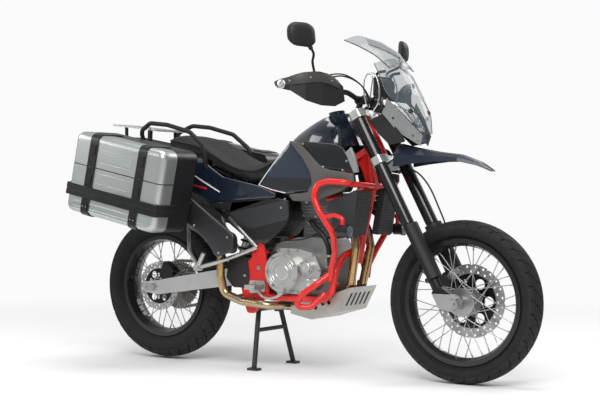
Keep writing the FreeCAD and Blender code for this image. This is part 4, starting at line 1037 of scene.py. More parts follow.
TANK_GLOSS = Finish("tank_gloss", (0.006, 0.009, 0.017), 0.2, coat=1.0, grain=Grain.ORANGE_PEEL,
                    depth=0.00004, tint=(0.012, 0.02, 0.036))
BEAK_SATIN = Finish("beak_satin", (0.006, 0.009, 0.017), 0.36, coat=0.2, depth=0.00006,
                    tint=(0.012, 0.02, 0.036))
PANEL_SATIN = Finish("panel_satin", (0.008, 0.009, 0.011), 0.26, coat=0.5, depth=0.00006)
PANEL_GREY = Finish("panel_grey", (0.09, 0.085, 0.08), 0.5, depth=0.00012, dust=0.15)
SILVER_PLASTIC = Finish("silver_plastic", (0.27, 0.275, 0.27), 0.34, 0.4, coat=0.3,
                        depth=0.00005)
GUARD_GREY = Finish("guard_grey", (0.05, 0.047, 0.044), 0.45, depth=0.00012, dust=0.1)
BLACK_PLASTIC = Finish("black_plastic", (0.016, 0.016, 0.017), 0.52, depth=0.0002, dust=0.25)
BLACK_STEEL = Finish("black_steel", (0.014, 0.014, 0.015), 0.42, 0.2, grain=Grain.ORANGE_PEEL,
                     depth=0.00012, dust=0.2)
RED_STEEL = Finish("red_steel", (0.62, 0.014, 0.014), 0.34, coat=0.45, grain=Grain.ORANGE_PEEL,
                   depth=0.00014, tint=(0.72, 0.026, 0.018))
ENGINE_ALLOY = Finish("engine_alloy", (0.24, 0.24, 0.235), 0.42, 0.85, grain=Grain.CAST,
                      depth=0.0006, dust=0.3)
HEAD_ALLOY = Finish("head_alloy", (0.13, 0.13, 0.13), 0.45, 0.8, grain=Grain.CAST, depth=0.0006,
                    dust=0.2)
COVER_ALLOY = Finish("cover_alloy", (0.56, 0.56, 0.54), 0.36, 0.9, grain=Grain.CAST, depth=0.0003,
                     dust=0.15)
BRUSHED_ALLOY = Finish("brushed_alloy", (0.6, 0.6, 0.59), 0.33, 0.95, grain=Grain.BRUSHED_X,
                       depth=0.00012)
SHEET_ALLOY = Finish("sheet_alloy", (0.5, 0.49, 0.46), 0.36, 0.9, grain=Grain.BRUSHED_X,
                     depth=0.0002, dust=0.6, mottle=0.2)
CLAMP_ALLOY = Finish("clamp_alloy", (0.66, 0.66, 0.65), 0.32, 0.85, grain=Grain.CAST,
                     depth=0.00015)
FORK_BLACK = Finish("fork_black", (0.012, 0.012, 0.013), 0.28, 0.3, coat=0.5,
                    grain=Grain.ORANGE_PEEL, depth=0.00005)
SILENCER = Finish("silencer_steel", (0.075, 0.075, 0.078), 0.34, 0.85, grain=Grain.BRUSHED_X,
                  depth=0.0001)
CHAIN_STEEL = Finish("chain_steel", (0.25, 0.24, 0.22), 0.4, 0.9, grain=Grain.CAST, depth=0.0002)
FRONT_DISC = DiscSteel("front_disc_steel", FRONT_AXLE, 0.111)
REAR_DISC = DiscSteel("rear_disc_steel", REAR_AXLE, 0.08)
AXLE_STEEL = Finish("axle_steel", (0.5, 0.5, 0.49), 0.28, 1.0, grain=Grain.FLAT)
HUB_ALLOY = Finish("hub_alloy", (0.42, 0.42, 0.42), 0.36, 0.9, grain=Grain.CAST, depth=0.0003)
RIM_BLACK = Finish("rim_black", (0.013, 0.013, 0.014), 0.3, 0.2, coat=0.5,
                   grain=Grain.ORANGE_PEEL, depth=0.00006)
CASE_ALLOY = Finish("pannier_alloy", (0.5, 0.53, 0.52), 0.33, 0.8, grain=Grain.BRUSHED_X,
                    depth=0.0001, mottle=0.08)
STRAP_BLACK = Finish("strap_black", (0.01, 0.01, 0.011), 0.4, coat=0.2, depth=0.00015)
SEAT_COVER = Finish("seat_cover", (0.013, 0.013, 0.014), 0.55, grain=Grain.LEATHER, depth=0.00035,
                    mottle=0.25)
GRIP_RUBBER = Finish("grip_rubber", (0.014, 0.014, 0.015), 0.7, grain=Grain.CAST, depth=0.0003)
PEG_ALLOY = Finish("peg_alloy", (0.5, 0.5, 0.48), 0.4, 0.9, grain=Grain.CAST, depth=0.0004)
RACK_ALLOY = Finish("rack_alloy", (0.55, 0.55, 0.54), 0.35, 0.9, grain=Grain.BRUSHED_X,
                    depth=0.0001)
MIRROR_GLASS = Finish("mirror_glass", (0.75, 0.78, 0.8), 0.03, 1.0, grain=Grain.FLAT)
WHITE_STRIPE = Finish("white_stripe", (0.75, 0.75, 0.74), 0.3, coat=0.5, grain=Grain.FLAT)
RED_STRIPE = Finish("red_stripe", (0.6, 0.02, 0.02), 0.3, coat=0.5, grain=Grain.FLAT)
BOLT_STEEL = Finish("bolt_steel", (0.45, 0.45, 0.44), 0.3, 1.0, grain=Grain.FLAT)
BOLT_BLACK = Finish("bolt_black", (0.02, 0.02, 0.021), 0.35, 0.6, grain=Grain.FLAT)
COVER_BRIGHT = Finish("cover_bright", (0.66, 0.66, 0.64), 0.3, 0.92, grain=Grain.CAST,
                      depth=0.00015)
DASH_GLASS = Finish("dash_glass", (0.01, 0.011, 0.013), 0.06, coat=1.0, grain=Grain.FLAT)
PLATE_BLANK = Finish("blank_plate", (0.3, 0.31, 0.32), 0.4, 0.2, grain=Grain.ORANGE_PEEL,
                     depth=0.00005)
LAMP_GLASS = Lens("lamp_glass", (0.12, 0.17, 0.21))
LAMP_AMBER = Lens("lamp_amber", (0.75, 0.27, 0.03))
LOWER_GREY = Finish("lower_grey", (0.032, 0.034, 0.036), 0.42, coat=0.15, depth=0.00012, dust=0.1)
COVER_GLOSS = TwoTone("cover_gloss", (0.012, 0.024, 0.042), (0.004, 0.004, 0.005), 0.829)
HEADER = HeatTint()
SCREEN = ScreenPlastic()
CORE = RadiatorCore()


def dress_solids(shop: Workshop, frame: dict) -> None:
    """Give every solid part its finish.

    Args:
        shop: Makes the pieces.
        frame: The loaded solid parts.
    """
    for finish, nodes in (
            (TANK_GLOSS, "fuel_tank side_covers tail_panels"), (BEAK_SATIN, "beak_fender"),
            (PANEL_SATIN, "tank_panels"), (PANEL_GREY, "shrouds"),
            (SILVER_PLASTIC, "fairing_sides"),
            (BLACK_PLASTIC, "intake fork_guards hand_guards mirrors lower_covers tail_cover"),
            (BLACK_STEEL, "dash_and_stay subframe centre_stand side_stand handlebar"),
            (RED_STEEL, "main_frame crash_bars"), (SHEET_ALLOY, "skid_plate"),
            (ENGINE_ALLOY, "crankcase"), (HEAD_ALLOY, "cylinder_and_head"),
            (COVER_ALLOY, "engine_covers"),
            (BRUSHED_ALLOY, "swingarm"), (CLAMP_ALLOY, "triple_clamps"),
            (FORK_BLACK, "fork_tubes front_caliper rear_caliper aux_lamps"),
            (ForkLeg(), "fork_legs"), (HEADER, "exhaust_pipes"), (SILENCER, "silencers"),
            (CORE, "radiators"), (LOWER_GREY, "radiator_guards"),
            (CHAIN_STEEL, "rear_sprocket chain"), (FRONT_DISC, "front_disc"),
            (REAR_DISC, "rear_disc"), (AXLE_STEEL, "front_axle rear_axle shock"),
            (HUB_ALLOY, "front_hub rear_hub"), (RIM_BLACK, "front_rim rear_rim"),
            (PannierShell(),
             "pannier_body_left pannier_body_right pannier_lid_left pannier_lid_right"),
            (SEAT_COVER, "seat"), (GRIP_RUBBER, "grips_and_levers front_tyre rear_tyre"),
            (PEG_ALLOY, "footpegs"), (RACK_ALLOY, "luggage_rack"), (LAMP_GLASS, "headlight"),
            (SCREEN, "windscreen"), (RearLens(), "rear_lights")):
        shop.dress(frame, finish, *nodes.split())


# Wheels


@dataclass
class Tyre:
    """A block-tread tyre round one rim."""

    end: str
    body: Body
    axle: Vector
    radius: float
    half: float
    rim_radius: float
    bead: float
    pitches: int
    groove: float = 0.006
    rows: tuple[tuple[float, float, float, float, float], ...] = (
        (0.025, 0.33, 0.42, 0.88, 0.0), (0.365, 0.69, 0.34, 0.88, 0.45),
        (0.725, 0.965, 0.2, 0.86, 0.9))

    def crown(self, t: float) -> float:
        """Return the tread's outer radius at a share of the half width."""
        depth = self.radius - self.rim_radius
        return self.radius - depth * (0.19 * t * t + 0.1 * t ** 6)

    def carcass(self) -> Mesh:
        """Build the casing under the blocks, closed across the beads.

        Returns:
            The casing.
        """
        depth = self.radius - self.rim_radius
        side = [(self.rim_radius - 0.014, self.bead), (self.rim_radius + 0.003, self.bead),
                (self.rim_radius + 0.007, self.bead + 0.003),
                (self.rim_radius + 0.2 * depth, self.half * 0.86),
                (self.rim_radius + 0.3 * depth, self.half * 0.935),
                (self.rim_radius + 0.42 * depth, self.half * 0.98),
                (self.rim_radius + 0.52 * depth, self.half * 0.99),
                (self.rim_radius + 0.62 * depth, self.half * 0.975)]
        tread = [(self.crown(t) - self.groove, t * self.half)
                 for t in (0.93, 0.84, 0.7, 0.5, 0.3, 0.1)]
        half = side + tread
        return turned_ring(half + [(r, -y) for r, y in reversed(half)], self.axle, 144)

    def block(self, start: float, length: float, near: float, far: float, skew: float) -> Mesh:
        """Build one tread block.

        Args:
            start: Its first angle.
            length: The angle that it covers.
            near: Its edge towards the middle, as a share of the half width.
            far: Its outer edge.
            skew: How much it leans round the tyre across its width.

        Returns:
            The block, open underneath.
        """
        across, along = 4, 2
        wide = across + 1
        points = []
        for j in range(along + 1):
            for i in range(across + 1):
                t = near + (far - near) * i / across
                angle = start + length * j / along + skew * (abs(t) - abs(near))
                points.append(about(self.axle, self.crown(t), t * self.half, angle))
        faces = [(k, k + 1, k + 1 + wide, k + wide)
                 for k in (j * wide + i for j in range(along) for i in range(across))]
        rim = [*range(wide), 2 * wide - 1, *range(3 * wide - 1, 2 * wide - 1, -1), wide]
        foot = []
        middle = sum(points, Vector()) / len(points)
        for index in rim:
            away = points[index] - self.axle
            outward = Vector((away.x, 0, away.z)).normalized()
            splay = (points[index] - middle) * 0.06
            foot.append(points[index] - outward * (self.groove + 0.002) + splay)
        first, count = len(points), len(rim)
        faces += [(rim[k], first + k, first + (k + 1) % count, rim[(k + 1) % count])
                  for k in range(count)]
        return Mesh().add(points + foot, faces)

    def tread(self) -> Mesh:
        """Build the blocks: chevrons in the middle, then an outer row and the shoulder.

        Returns:
            The blocks.
        """
        blocks = Mesh()
        pitch = 2 * math.pi / self.pitches
        for k in range(self.pitches):
            for side in (1, -1):
                shift = 0 if side > 0 else pitch / 2
                for near, far, skew, share, late in self.rows:
                    blocks.join(self.block(k * pitch + shift + late * pitch, pitch * share,
                                           near * side, far * side, skew * 0.5))
        return blocks

    def build(self, shop: Workshop) -> None:
        """Make the tyre in place of its solid.

        Args:
            shop: Makes the pieces.
        """
        rubber = TyreRubber(self.end + "_tyre_rubber", self.axle, self.radius - 0.03)
        shop.piece(self.end + "_tyre_tread", self.carcass().join(self.tread()), self.body, rubber,
                   30, stands_for=(self.end + "_tyre",))
        LOG.info("%s tyre", self.end)


# Seat


@dataclass
class Saddle:
    """The one-piece padded seat: a passenger pad stepping down to the rider's."""

    stations: tuple[tuple[float, float, float, float], ...] = (
        (54, 1006, 988, 80), (80, 1016, 968, 100), (120, 1019, 955, 117), (170, 1015, 942, 125),
        (220, 1006, 932, 129), (265, 994, 921, 132), (310, 976, 910, 135), (350, 953, 893, 138),
        (390, 929, 873, 140), (430, 909, 855, 142), (470, 895, 836, 142), (510, 889, 820, 141),
        (550, 889, 808, 138), (590, 896, 815, 127), (630, 916, 840, 108), (660, 940, 866, 88),
        (684, 963, 893, 74), (701, 980, 912, 66))
    thin: float = 3.0
    voxel: float = 0.007
    swell: float = 0.006
    pressure: float = 4.0
    frames: int = 20
    seams: tuple[float, ...] = (330.0, 560.0)
    seam_lean: float = 0.25
    piping_height: float = 0.6

    def section(self, x: float, top: float, bottom: float, half: float) -> list[Vector]:
        """Return one closed ring with a flat base and tucked lower edge.

        Args:
            x: Its place along the seat.
            top: Its highest point.
            bottom: Its base.
            half: Half its width.

        Returns:
            The ring.
        """
        top, half = top - self.thin, half - self.thin
        tall = top - bottom
        side = [(0, top), (half * 0.35, top - 0.012 * tall), (half * 0.62, top - 0.06 * tall),
                (half * 0.84, top - 0.17 * tall), (half * 0.96, top - 0.34 * tall),
                (half * 0.995, bottom + 0.42 * tall), (half * 0.96, bottom + 0.14 * tall),
                (half * 0.88, bottom + 0.01 * tall), (half * 0.5, bottom)]
        ring = [mm(x, y, z) for y, z in side]
        return ring + [mm(x, 0, bottom)] + [mm(x, -y, z) for y, z in reversed(side[1:])]

    def shell(self) -> Mesh:
        """Loft the seat a little smaller than its finished size."""
        return loft([self.section(*station) for station in self.stations])

    def pull(self, point: Vector) -> float:
        """Return how free the cover is at a point, from 0 on a seam or the base to 1.

        Args:
            point: A point of the cover.

        Returns:
            The freedom, from 0 to 1.
        """
        x = point.x * 1000 + ORIGIN_X
        free = 1.0
        for seam in self.seams:
            lean = abs(point.y) * 1000 * self.seam_lean
            free = min(free, max(0.0, (abs(x + lean - seam) - 3) / 34))
        height = self.height_share(x, point.z * 1000)
        free = min(free, max(0.0, (height - 0.06) / 0.25))
        seam_line = abs(height - self.piping_height) if abs(point.y) > 0.075 else 1.0
        return min(free, 1.0, max(0.15, seam_line * 5))

    def height_share(self, x: float, z: float) -> float:
        """Return how far up the seat's side a point lies.

        Args:
            x: Length in drawing millimetres.
            z: Height in drawing millimetres.

        Returns:
            The share, 0 at the base and 1 at the top.
        """
        for a, b in zip(self.stations, self.stations[1:]):
            if x <= b[0]:
                t = max(0.0, (x - a[0]) / (b[0] - a[0]))
                top, low = a[1] + (b[1] - a[1]) * t, a[2] + (b[2] - a[2]) * t
                return (z - low) / (top - low)
        return 0.5

    def inflate(self, thing: bpy.types.Object) -> None:
        """Swell the cover with the Cloth modifier and hold it down at its seams and base.

        Args:
            thing: The seat's object, changed in place.
        """
        remesh = thing.modifiers.new("remesh", "REMESH")
        remesh.mode = "VOXEL"
        remesh.voxel_size = self.voxel
        bake_mesh(thing)
        rest = [v.co.copy() for v in thing.data.vertices]
        cloth = thing.modifiers.new("cloth", "CLOTH")
        cloth.settings.use_pressure = True
        cloth.settings.uniform_pressure_force = self.pressure
        cloth.settings.effector_weights.gravity = 0
        cloth.settings.quality = 4
        for step in range(1, self.frames + 1):
            bpy.context.scene.frame_set(step)
        bake_mesh(thing)
        bpy.context.scene.frame_set(1)
        for vertex, start in zip(thing.data.vertices, rest):
            move = vertex.co - start
            limit = self.swell * self.pull(start)
            if move.length > limit:
                move = move.normalized() * limit
            vertex.co = start + move
        skin = thing.modifiers.new("subdivide", "SUBSURF")
        skin.levels = skin.render_levels = 1

    def piping(self) -> Mesh:
        """Run the sewn edge along both sides.

        Returns:
            The piping.
        """
        lines = Mesh()
        for side in (1, -1):
            path = []
            for x, top, bottom, half in self.stations[1:-1]:
                tall = top - bottom
                path.append(mm(x, side * (half * 0.985 + 1.0), bottom + self.piping_height * tall))
            lines.join(sweep(smooth_path(path, 3), 0.0022, 8))
        return lines

    def build(self, shop: Workshop) -> None:
        """Make the seat in place of its solid.

        Args:
            shop: Makes the pieces.
        """
        seat = shop.piece("seat_pad", self.shell(), Body.CHASSIS, SEAT_COVER, 0,
                          stands_for=("seat",))
        self.inflate(seat)
        shop.piece("seat_piping", self.piping(), Body.CHASSIS, STRAP_BLACK, 60)
        LOG.info("seat")


def bake_mesh(thing: bpy.types.Object) -> None:
    """Replace an object's mesh by what its modifiers give, and drop them.

    Args:
        thing: The object, changed in place.
    """
    graph = bpy.context.evaluated_depsgraph_get()
    graph.update()
    data = bpy.data.meshes.new_from_object(thing.evaluated_get(graph))
    thing.modifiers.clear()
    thing.data = data


# Bodywork


def line_strip(path: Sequence[Vector], out: Vector, width: float, thick: float) -> Mesh:
    """Lay a thin flat strip along a path on a side panel.

    Args:
        path: The strip's middle line.
        out: The direction away from the panel.
        width: Its width.
        thick: Its thickness.

    Returns:
        The strip.
    """
    rings = []
    for i, point in enumerate(path):
        ahead = (path[min(i + 1, len(path) - 1)] - path[max(i - 1, 0)]).normalized()
        across = ahead.cross(out).normalized() * width / 2
        rings.append([point - across - out * thick, point - across + out * thick,
                      point + across + out * thick, point + across - out * thick])
    return loft(rings)


@dataclass
class Bodywork:
    """Tank panels, shrouds, side covers and tail panels with their screws and stripes."""

    panel_out: float = 200.0
    cover_out: float = 171.0
    tail_out: float = 159.0

    def panel_face(self, x: float, z: float) -> float:
        """Return the tank panel's distance from the middle plane."""
        return self.panel_out - max(0.0, z - 925) ** 2 * 0.0016 - max(0.0, x - 1062) ** 2 * 0.004

    def shroud_face(self, x: float, z: float) -> float:
        """Return the grey shroud's distance from the middle plane.

        Args:
            x: Length in drawing millimetres.
            z: Height in drawing millimetres.

        Returns:
            The distance in millimetres.
        """
        low = max(0.0, 790 - z) ** 2 * 0.0022
        rear = max(0.0, 840 - x) ** 2 * 0.0022 if z > 880 else 0.0
        return self.panel_out + 1.5 - low - rear - max(0.0, x - 1070) ** 2 * 0.004

    def cover_face(self, x: float, z: float) -> float:
        """Return the side cover's distance from the middle plane."""
        return self.cover_out + 9 - ((x - 790) / 190) ** 2 * 9 - ((z - 850) / 130) ** 2 * 7

    def tail_face(self, x: float, z: float) -> float:
        """Return the tail panel's distance from the middle plane."""
        return self.tail_out + 3 - ((z - 810) / 100) ** 2 * 6 - ((x - 400) / 300) ** 2 * 4

    def lower_face(self, x: float, z: float) -> float:
        """Return the lower cover's distance from the middle plane, creased across."""
        crease = z - (628 + abs(x - 563) * 0.22)
        return self.tail_out - 1 + (-crease * 0.03 if crease > 0 else crease * 0.10)

    def screws(self, side: int) -> Mesh:
        """Build the button-head screws that hold the panels.

        Args:
            side: 1 on the left, -1 on the right.

        Returns:
            The screws.
        """
        heads = Mesh()
        for x, z, out in ((858, 968, 198.5), (1072, 895, 199.4), (1052, 858, 199.4),
                          (742, 737, 156.5), (960, 872, 201.5), (722, 700, 156.2)):
            heads.join(cap_screw(mm(x, side * out, z), Vector((0, side, 0)), 0.0048, 0.0026))
        return heads

    def cover_edge(self, side: int) -> Mesh:
        """Lay the fine white line along the side cover's rear and lower edges.

        Args:
            side: 1 on the left, -1 on the right.

        Returns:
            The line.
        """
        path = []
        for (ax, az), (bx, bz) in (((769, 968), (618, 797)), ((618, 797), (690, 776)),
                                   ((690, 776), (758, 763))):
            for k in range(9):
                x, z = ax + (bx - ax) * k / 8, az + (bz - az) * k / 8
                path.append(mm(x, side * (self.cover_face(x, z) + 0.2), z))
        return line_strip(path, Vector((0, side, 0)), 0.0032, 0.0007)

    def stripe(self, side: int, start: tuple[float, float], end: tuple[float, float],
               width: float) -> Mesh:
        """Lay one stripe on the tail panel.

        Args:
            side: 1 on the left, -1 on the right.
            start: Its first end as length and height.
            end: Its other end.
            width: Its width in metres.

        Returns:
            The stripe.
        """
        path = []
        for k in range(13):
            x = start[0] + (end[0] - start[0]) * k / 12
            z = start[1] + (end[1] - start[1]) * k / 12
            path.append(mm(x, side * (self.tail_face(x, z) + 0.2), z))
        return line_strip(path, Vector((0, side, 0)), width, 0.0006)

    def build_side(self, shop: Workshop, side: int, name: str) -> None:
        """Make one side's panels.

        Args:
            shop: Makes the pieces.
            side: 1 on the left, -1 on the right.
            name: The side's word in piece names.
        """
        tank = moulding(((838, 980), (1012, 966), (1054, 946), (1079, 915), (1100, 848),
                         (985, 864), (944, 876), (889, 934)), self.panel_face, side, 6, 6, 9)
        shop.piece("tank_panel_" + name, tank, Body.CHASSIS, PANEL_SATIN, 50,
                   stands_for=("tank_panels",))
        upper = moulding(((784, 982), (836, 975), (884, 935), (941, 879), (984, 861), (1100, 844),
                          (1101, 812), (1045, 772), (944, 738), (894, 727), (803, 730), (788, 757),
                          (880, 766), (905, 800), (893, 850), (858, 905)), self.shroud_face, side,
                         8, 5, 6, 8)
        shop.piece("shroud_" + name, upper, Body.CHASSIS, PANEL_GREY, 50,
                   stands_for=("shrouds",))
        trim = moulding(((1064, 928), (1088, 952), (1106, 914), (1118, 850), (1101, 846)),
                        self.panel_face, side, 8, 3, 3, 7)
        shop.piece("tank_trim_" + name, trim, Body.CHASSIS, SILVER_PLASTIC, 50,
                   stands_for=("shrouds",))
        cover = moulding(((776, 980), (610, 796), (690, 770), (762, 758), (874, 768), (898, 812),
                          (892, 850), (856, 900)), self.cover_face, side, 6, 7, 7)
        shop.piece("side_cover_" + name, cover, Body.CHASSIS, COVER_GLOSS, 50,
                   stands_for=("side_covers",))
        tail = moulding(((184, 796), (190, 900), (310, 903), (350, 874), (420, 832), (600, 795),
                         (694, 758), (690, 742), (350, 716)), self.tail_face, side, 6, 6, 8)
        shop.piece("tail_panel_" + name, tail, Body.CHASSIS, TANK_GLOSS, 50,
                   stands_for=("tail_panels",))
        wedge = moulding(((346, 713), (690, 744), (610, 722), (455, 676), (360, 700)),
                         lambda x, z: self.tail_out - 3, side, 6, 3, 4)
        shop.piece("tail_wedge_" + name, wedge, Body.CHASSIS, BLACK_PLASTIC, 50)
        lower = moulding(((452, 668), (462, 678), (700, 741), (757, 730), (763, 666), (740, 622),
                          (660, 560), (640, 545), (576, 548)), self.lower_face, side, 6, 5, 8)
        shop.piece("lower_cover_" + name, lower, Body.CHASSIS, LOWER_GREY, 30)
        edge = self.cover_edge(side)
        edge.join(self.stripe(side, (205, 868), (404, 765), 0.006))
        shop.piece("white_lines_" + name, edge, Body.CHASSIS, WHITE_STRIPE, 30)
        shop.piece("red_line_" + name, self.stripe(side, (214, 806), (334, 779), 0.007),
                   Body.CHASSIS, RED_STRIPE, 30)
        shop.piece("panel_screws_" + name, self.screws(side), Body.CHASSIS, BOLT_STEEL,
                   35)

    def build(self, shop: Workshop) -> None:
        """Make both sides' panels.

        Args:
            shop: Makes the pieces.
        """
        for side, name in SIDES:
            self.build_side(shop, side, name)
        LOG.info("bodywork")


# Panniers


@dataclass(frozen=True)
class PannierShell:
    """Brushed pannier shell with its black straps, band and inner half."""

    name: str = "pannier_shell"
    strap_at: float = 0.136
    strap_half: float = 0.0224
    belt: tuple[float, float] = (-0.104, -0.052)
    inner: float = 0.405
    seam: float = 0.0355
    gasket_half: float = 0.0021

    def build(self) -> bpy.types.Material:
        """Make the Blender material.

        Returns:
            The material.
        """
        kit = ShaderKit(self.name)
        x, y, z = kit.axes()
        middle = mm(CASE_CENTRE[0], 0, CASE_CENTRE[1])
        turn, rise = math.cos(math.radians(CASE_LEAN)), math.sin(math.radians(CASE_LEAN))
        dx, dz = x - middle.x, z - middle.z
        along = dx * turn - dz * rise
        up = dx * rise + dz * turn
        strap = (along.size() - self.strap_at).size().below(self.strap_half)
        belt = up.above(self.belt[0]) * up.below(self.belt[1])
        gasket = (up - self.seam).size().below(self.gasket_half)
        black = (strap + belt + gasket + y.size().below(self.inner)).above(0.5)
        dust = kit.noise(24, 5) * 0.3
        shell = kit.blend(dust, (0.46, 0.49, 0.48), (0.54, 0.55, 0.53))
        brushed = kit.noise(260, 4, (0.04, 1, 1)) * (1.0 - black) + kit.noise(800, 2) * black
        kit.surface(Base_Color=kit.blend(black, shell, (0.011, 0.011, 0.012)),
                    Metallic=(1.0 - black) * 0.8, Roughness=kit.noise(40, 3) * 0.08 + 0.3,
                    Normal=kit.bump(brushed, 0.0001))
        return kit.material


@dataclass
class Panniers:
    """Shells, straps, ribs, belts, hinges and latches of both hard cases, in millimetres."""

    half_long: float = 252.5
    half_tall: float = 177.5
    corner: float = 38.0
    wall: float = 495.0
    thick: float = 3.6
    seam: float = 35.5
    seam_gap: float = 0.15
    strap_face: float = 500.0
    strap_at: float = 136.0
    strap_half: float = 22.0
    rib_span: tuple[float, float] = (-212.0, 212.0)
    short_span: tuple[float, float] = (-98.0, 98.0)
    belt_plan: tuple[tuple[float, float], ...] = (
        (-257, 346), (-257, 492), (-253, 501), (-244, 504.5), (244, 504.5), (253, 501),
        (257, 492), (257, 346), (252.2, 346), (252.2, 494.6), (-252.2, 494.6), (-252.2, 346))
    belt_rows: tuple[tuple[float, float], ...] = (
        (-104, 1.6), (-102.4, 0.0), (-82, 0.0), (-80, 1.2), (-76, 1.2), (-74, 0.0), (-53.6, 0.0),
        (-52, 1.6))

    def spot(self, along: float, out: float, up: float, side: int) -> Vector:
        """Return a place given along, out from and up the leaning case.

        Args:
            along: Its place along the case.
            out: Its distance from the middle plane.
            up: Its height from the case's middle.
            side: 1 on the left, -1 on the right.

        Returns:
            The place.
        """
        turn, rise = math.cos(math.radians(CASE_LEAN)), math.sin(math.radians(CASE_LEAN))
        return mm(CASE_CENTRE[0] + along * turn + up * rise, side * out,
                  CASE_CENTRE[1] - along * rise + up * turn)

    def rib(self, start: float, end: float, up: float, side: int, radius: float = 0.0028) -> Mesh:
        """Raise one pressed rib along the outer wall.

        Args:
            start: Its rear end.
            end: Its front end.
            up: Its height on the case.
            side: 1 on the left, -1 on the right.
            radius: Its radius in metres.

        Returns:
            The rib.
        """
        path = [self.spot(start + (end - start) * k / 6, self.wall - 0.4, up, side)
                for k in range(7)]
        sizes = [radius * 0.4, radius * 0.85] + [radius] * 3 + [radius * 0.85, radius * 0.4]
        return sweep(path, sizes, 12)

    def plate(self, along: float, up: float, wide: float, tall: float, out: float, thick: float,
              side: int, radius: float = 5.0) -> Mesh:
        """Lay a flat rounded plate on the outer wall.

        Args:
            along: Its middle along the case.
            up: Its middle's height on the case.
            wide: Its width.
            tall: Its height.
            out: The face that it lies on.
            thick: Its thickness.
            side: 1 on the left, -1 on the right.
            radius: Corner rounding.

        Returns:
            The plate.
        """
        rear, front = along - wide / 2, along + wide / 2
        low, high = up - tall / 2, up + tall / 2
        ring = rounded_outline(((rear, low), (front, low), (front, high), (rear, high)), radius)
        return slab([self.spot(a, out - 0.4, u, side) for a, u in ring],
                    Vector((0, side * (thick + 0.4) / 1000, 0)))

    def edge(self, upper: bool) -> float:
        """Return how high one half ends at the seam."""
        return self.seam + (self.seam_gap if upper else -self.seam_gap)

    def arc(self, upper: bool, shrink: float) -> list[tuple[float, float]]:
        """Trace a rounded case outline on one side of the seam, shrunk evenly.

        Args:
            upper: Whether it is the lid's part.
            shrink: How far it lies inside the case's own outline.

        Returns:
            Places along and up the case, from the rear seam to the front seam.
        """
        half_long, half_tall = self.half_long - shrink, self.half_tall - shrink
        radius = max(4.0, self.corner - shrink)
        edge = self.edge(upper)
        sign = 1 if upper else -1
        line = [(-half_long, edge)]
        for start, cx in ((180, -half_long + radius), (90, half_long - radius)):
            for k in range(9):
                a = math.radians(start - 90 * k / 8)
                line.append((cx + radius * math.cos(a),
                             sign * (half_tall - radius + radius * math.sin(a))))
        line.append((half_long, edge))
        return line

    def outline(self, shrink: float) -> list[tuple[float, float]]:
        """Trace the whole case's outline, shrunk evenly."""
        return self.arc(True, shrink) + self.arc(False, shrink)[-2:0:-1]

    def shell_part(self, upper: bool, side: int, inner: float) -> Mesh:
        """Build one half of a case as a thin wall with softly rounded outer edges.

        Args:
            upper: Whether it is the lid.
            side: 1 on the left, -1 on the right.
            inner: Where its wall starts, from the middle plane.

        Returns:
            The half, open at the seam and closed on the outside.
        """
        stations = [(inner, 0.0), (452.0, 0.0), (465.0, 0.4), (475.0, 2.2), (483.0, 5.8),
                    (489.0, 10.8), (493.0, 17.0), (self.wall, 25.0)]
        rings = []
        for out, shrink in stations:
            skin = [self.spot(a, out, u, side) for a, u in self.arc(upper, shrink)]
            depth = self.thick if out < 492 else 3.0
            lining = [self.spot(a, min(out, self.wall - self.thick), u, side)
                      for a, u in reversed(self.arc(upper, shrink + depth))]
            rings.append(skin + lining)
        shell = loft(rings, caps=False)
        count = len(rings[0])
        half = count // 2
        first = len(rings) * count - count
        shell.faces += [(i, i + 1, count - 2 - i, count - 1 - i) for i in range(half - 1)]
        shell.faces.append(tuple(first + i for i in range(half)))
        shell.faces.append(tuple(first + half + i for i in range(half)))
        end, face, back = self.half_long - stations[-1][1], self.wall, self.wall - self.thick
        sill = [self.spot(a, out, self.edge(upper), side)
                for a, out in ((-end, face), (end, face), (end, back), (-end, back))]
        return shell.add(sill, [(0, 1, 2, 3)])

    def strap_part(self, upper: bool, side: int, at: float) -> Mesh:
        """Build one strap over the outside of a half, following its rounded edges.

        Args:
            upper: Whether it is on the lid.
            side: 1 on the left, -1 on the right.
            at: Its middle along the case.

        Returns:
            The strap.
        """
        stations = ((331.0, -5.0), (452.0, -5.0), (466.0, -4.6), (477.0, -2.6), (486.0, 1.0),
                    (493.0, 6.6), (497.6, 13.0), (500.0, 24.0))
        sign = 1 if upper else -1
        edge, tall, half = self.edge(upper), self.half_tall, self.strap_half
        rows = []
        if upper:
            stations = ((340.6, -5.0), *stations[1:])
        outer = [(out, sign * (tall - shrink)) for out, shrink in stations]
        outer.append((self.strap_face, edge))
        inner = [(self.wall - 0.5, edge)]
        inner += [(out - 5.5 if out > 480 else out, sign * (tall - shrink - 5.5))
                  for out, shrink in reversed(stations)]
        for along, trim in ((-half, 0.8), (-half + 0.8, 0.0), (half - 0.8, 0.0), (half, 0.8)):
            row = [self.spot(at + along, out - (trim if i > 3 else 0), up - sign * trim, side)
                   for i, (out, up) in enumerate(outer)]
            row += [self.spot(at + along, out, up, side) for out, up in inner]
            rows.append(row)
        return loft(rows)

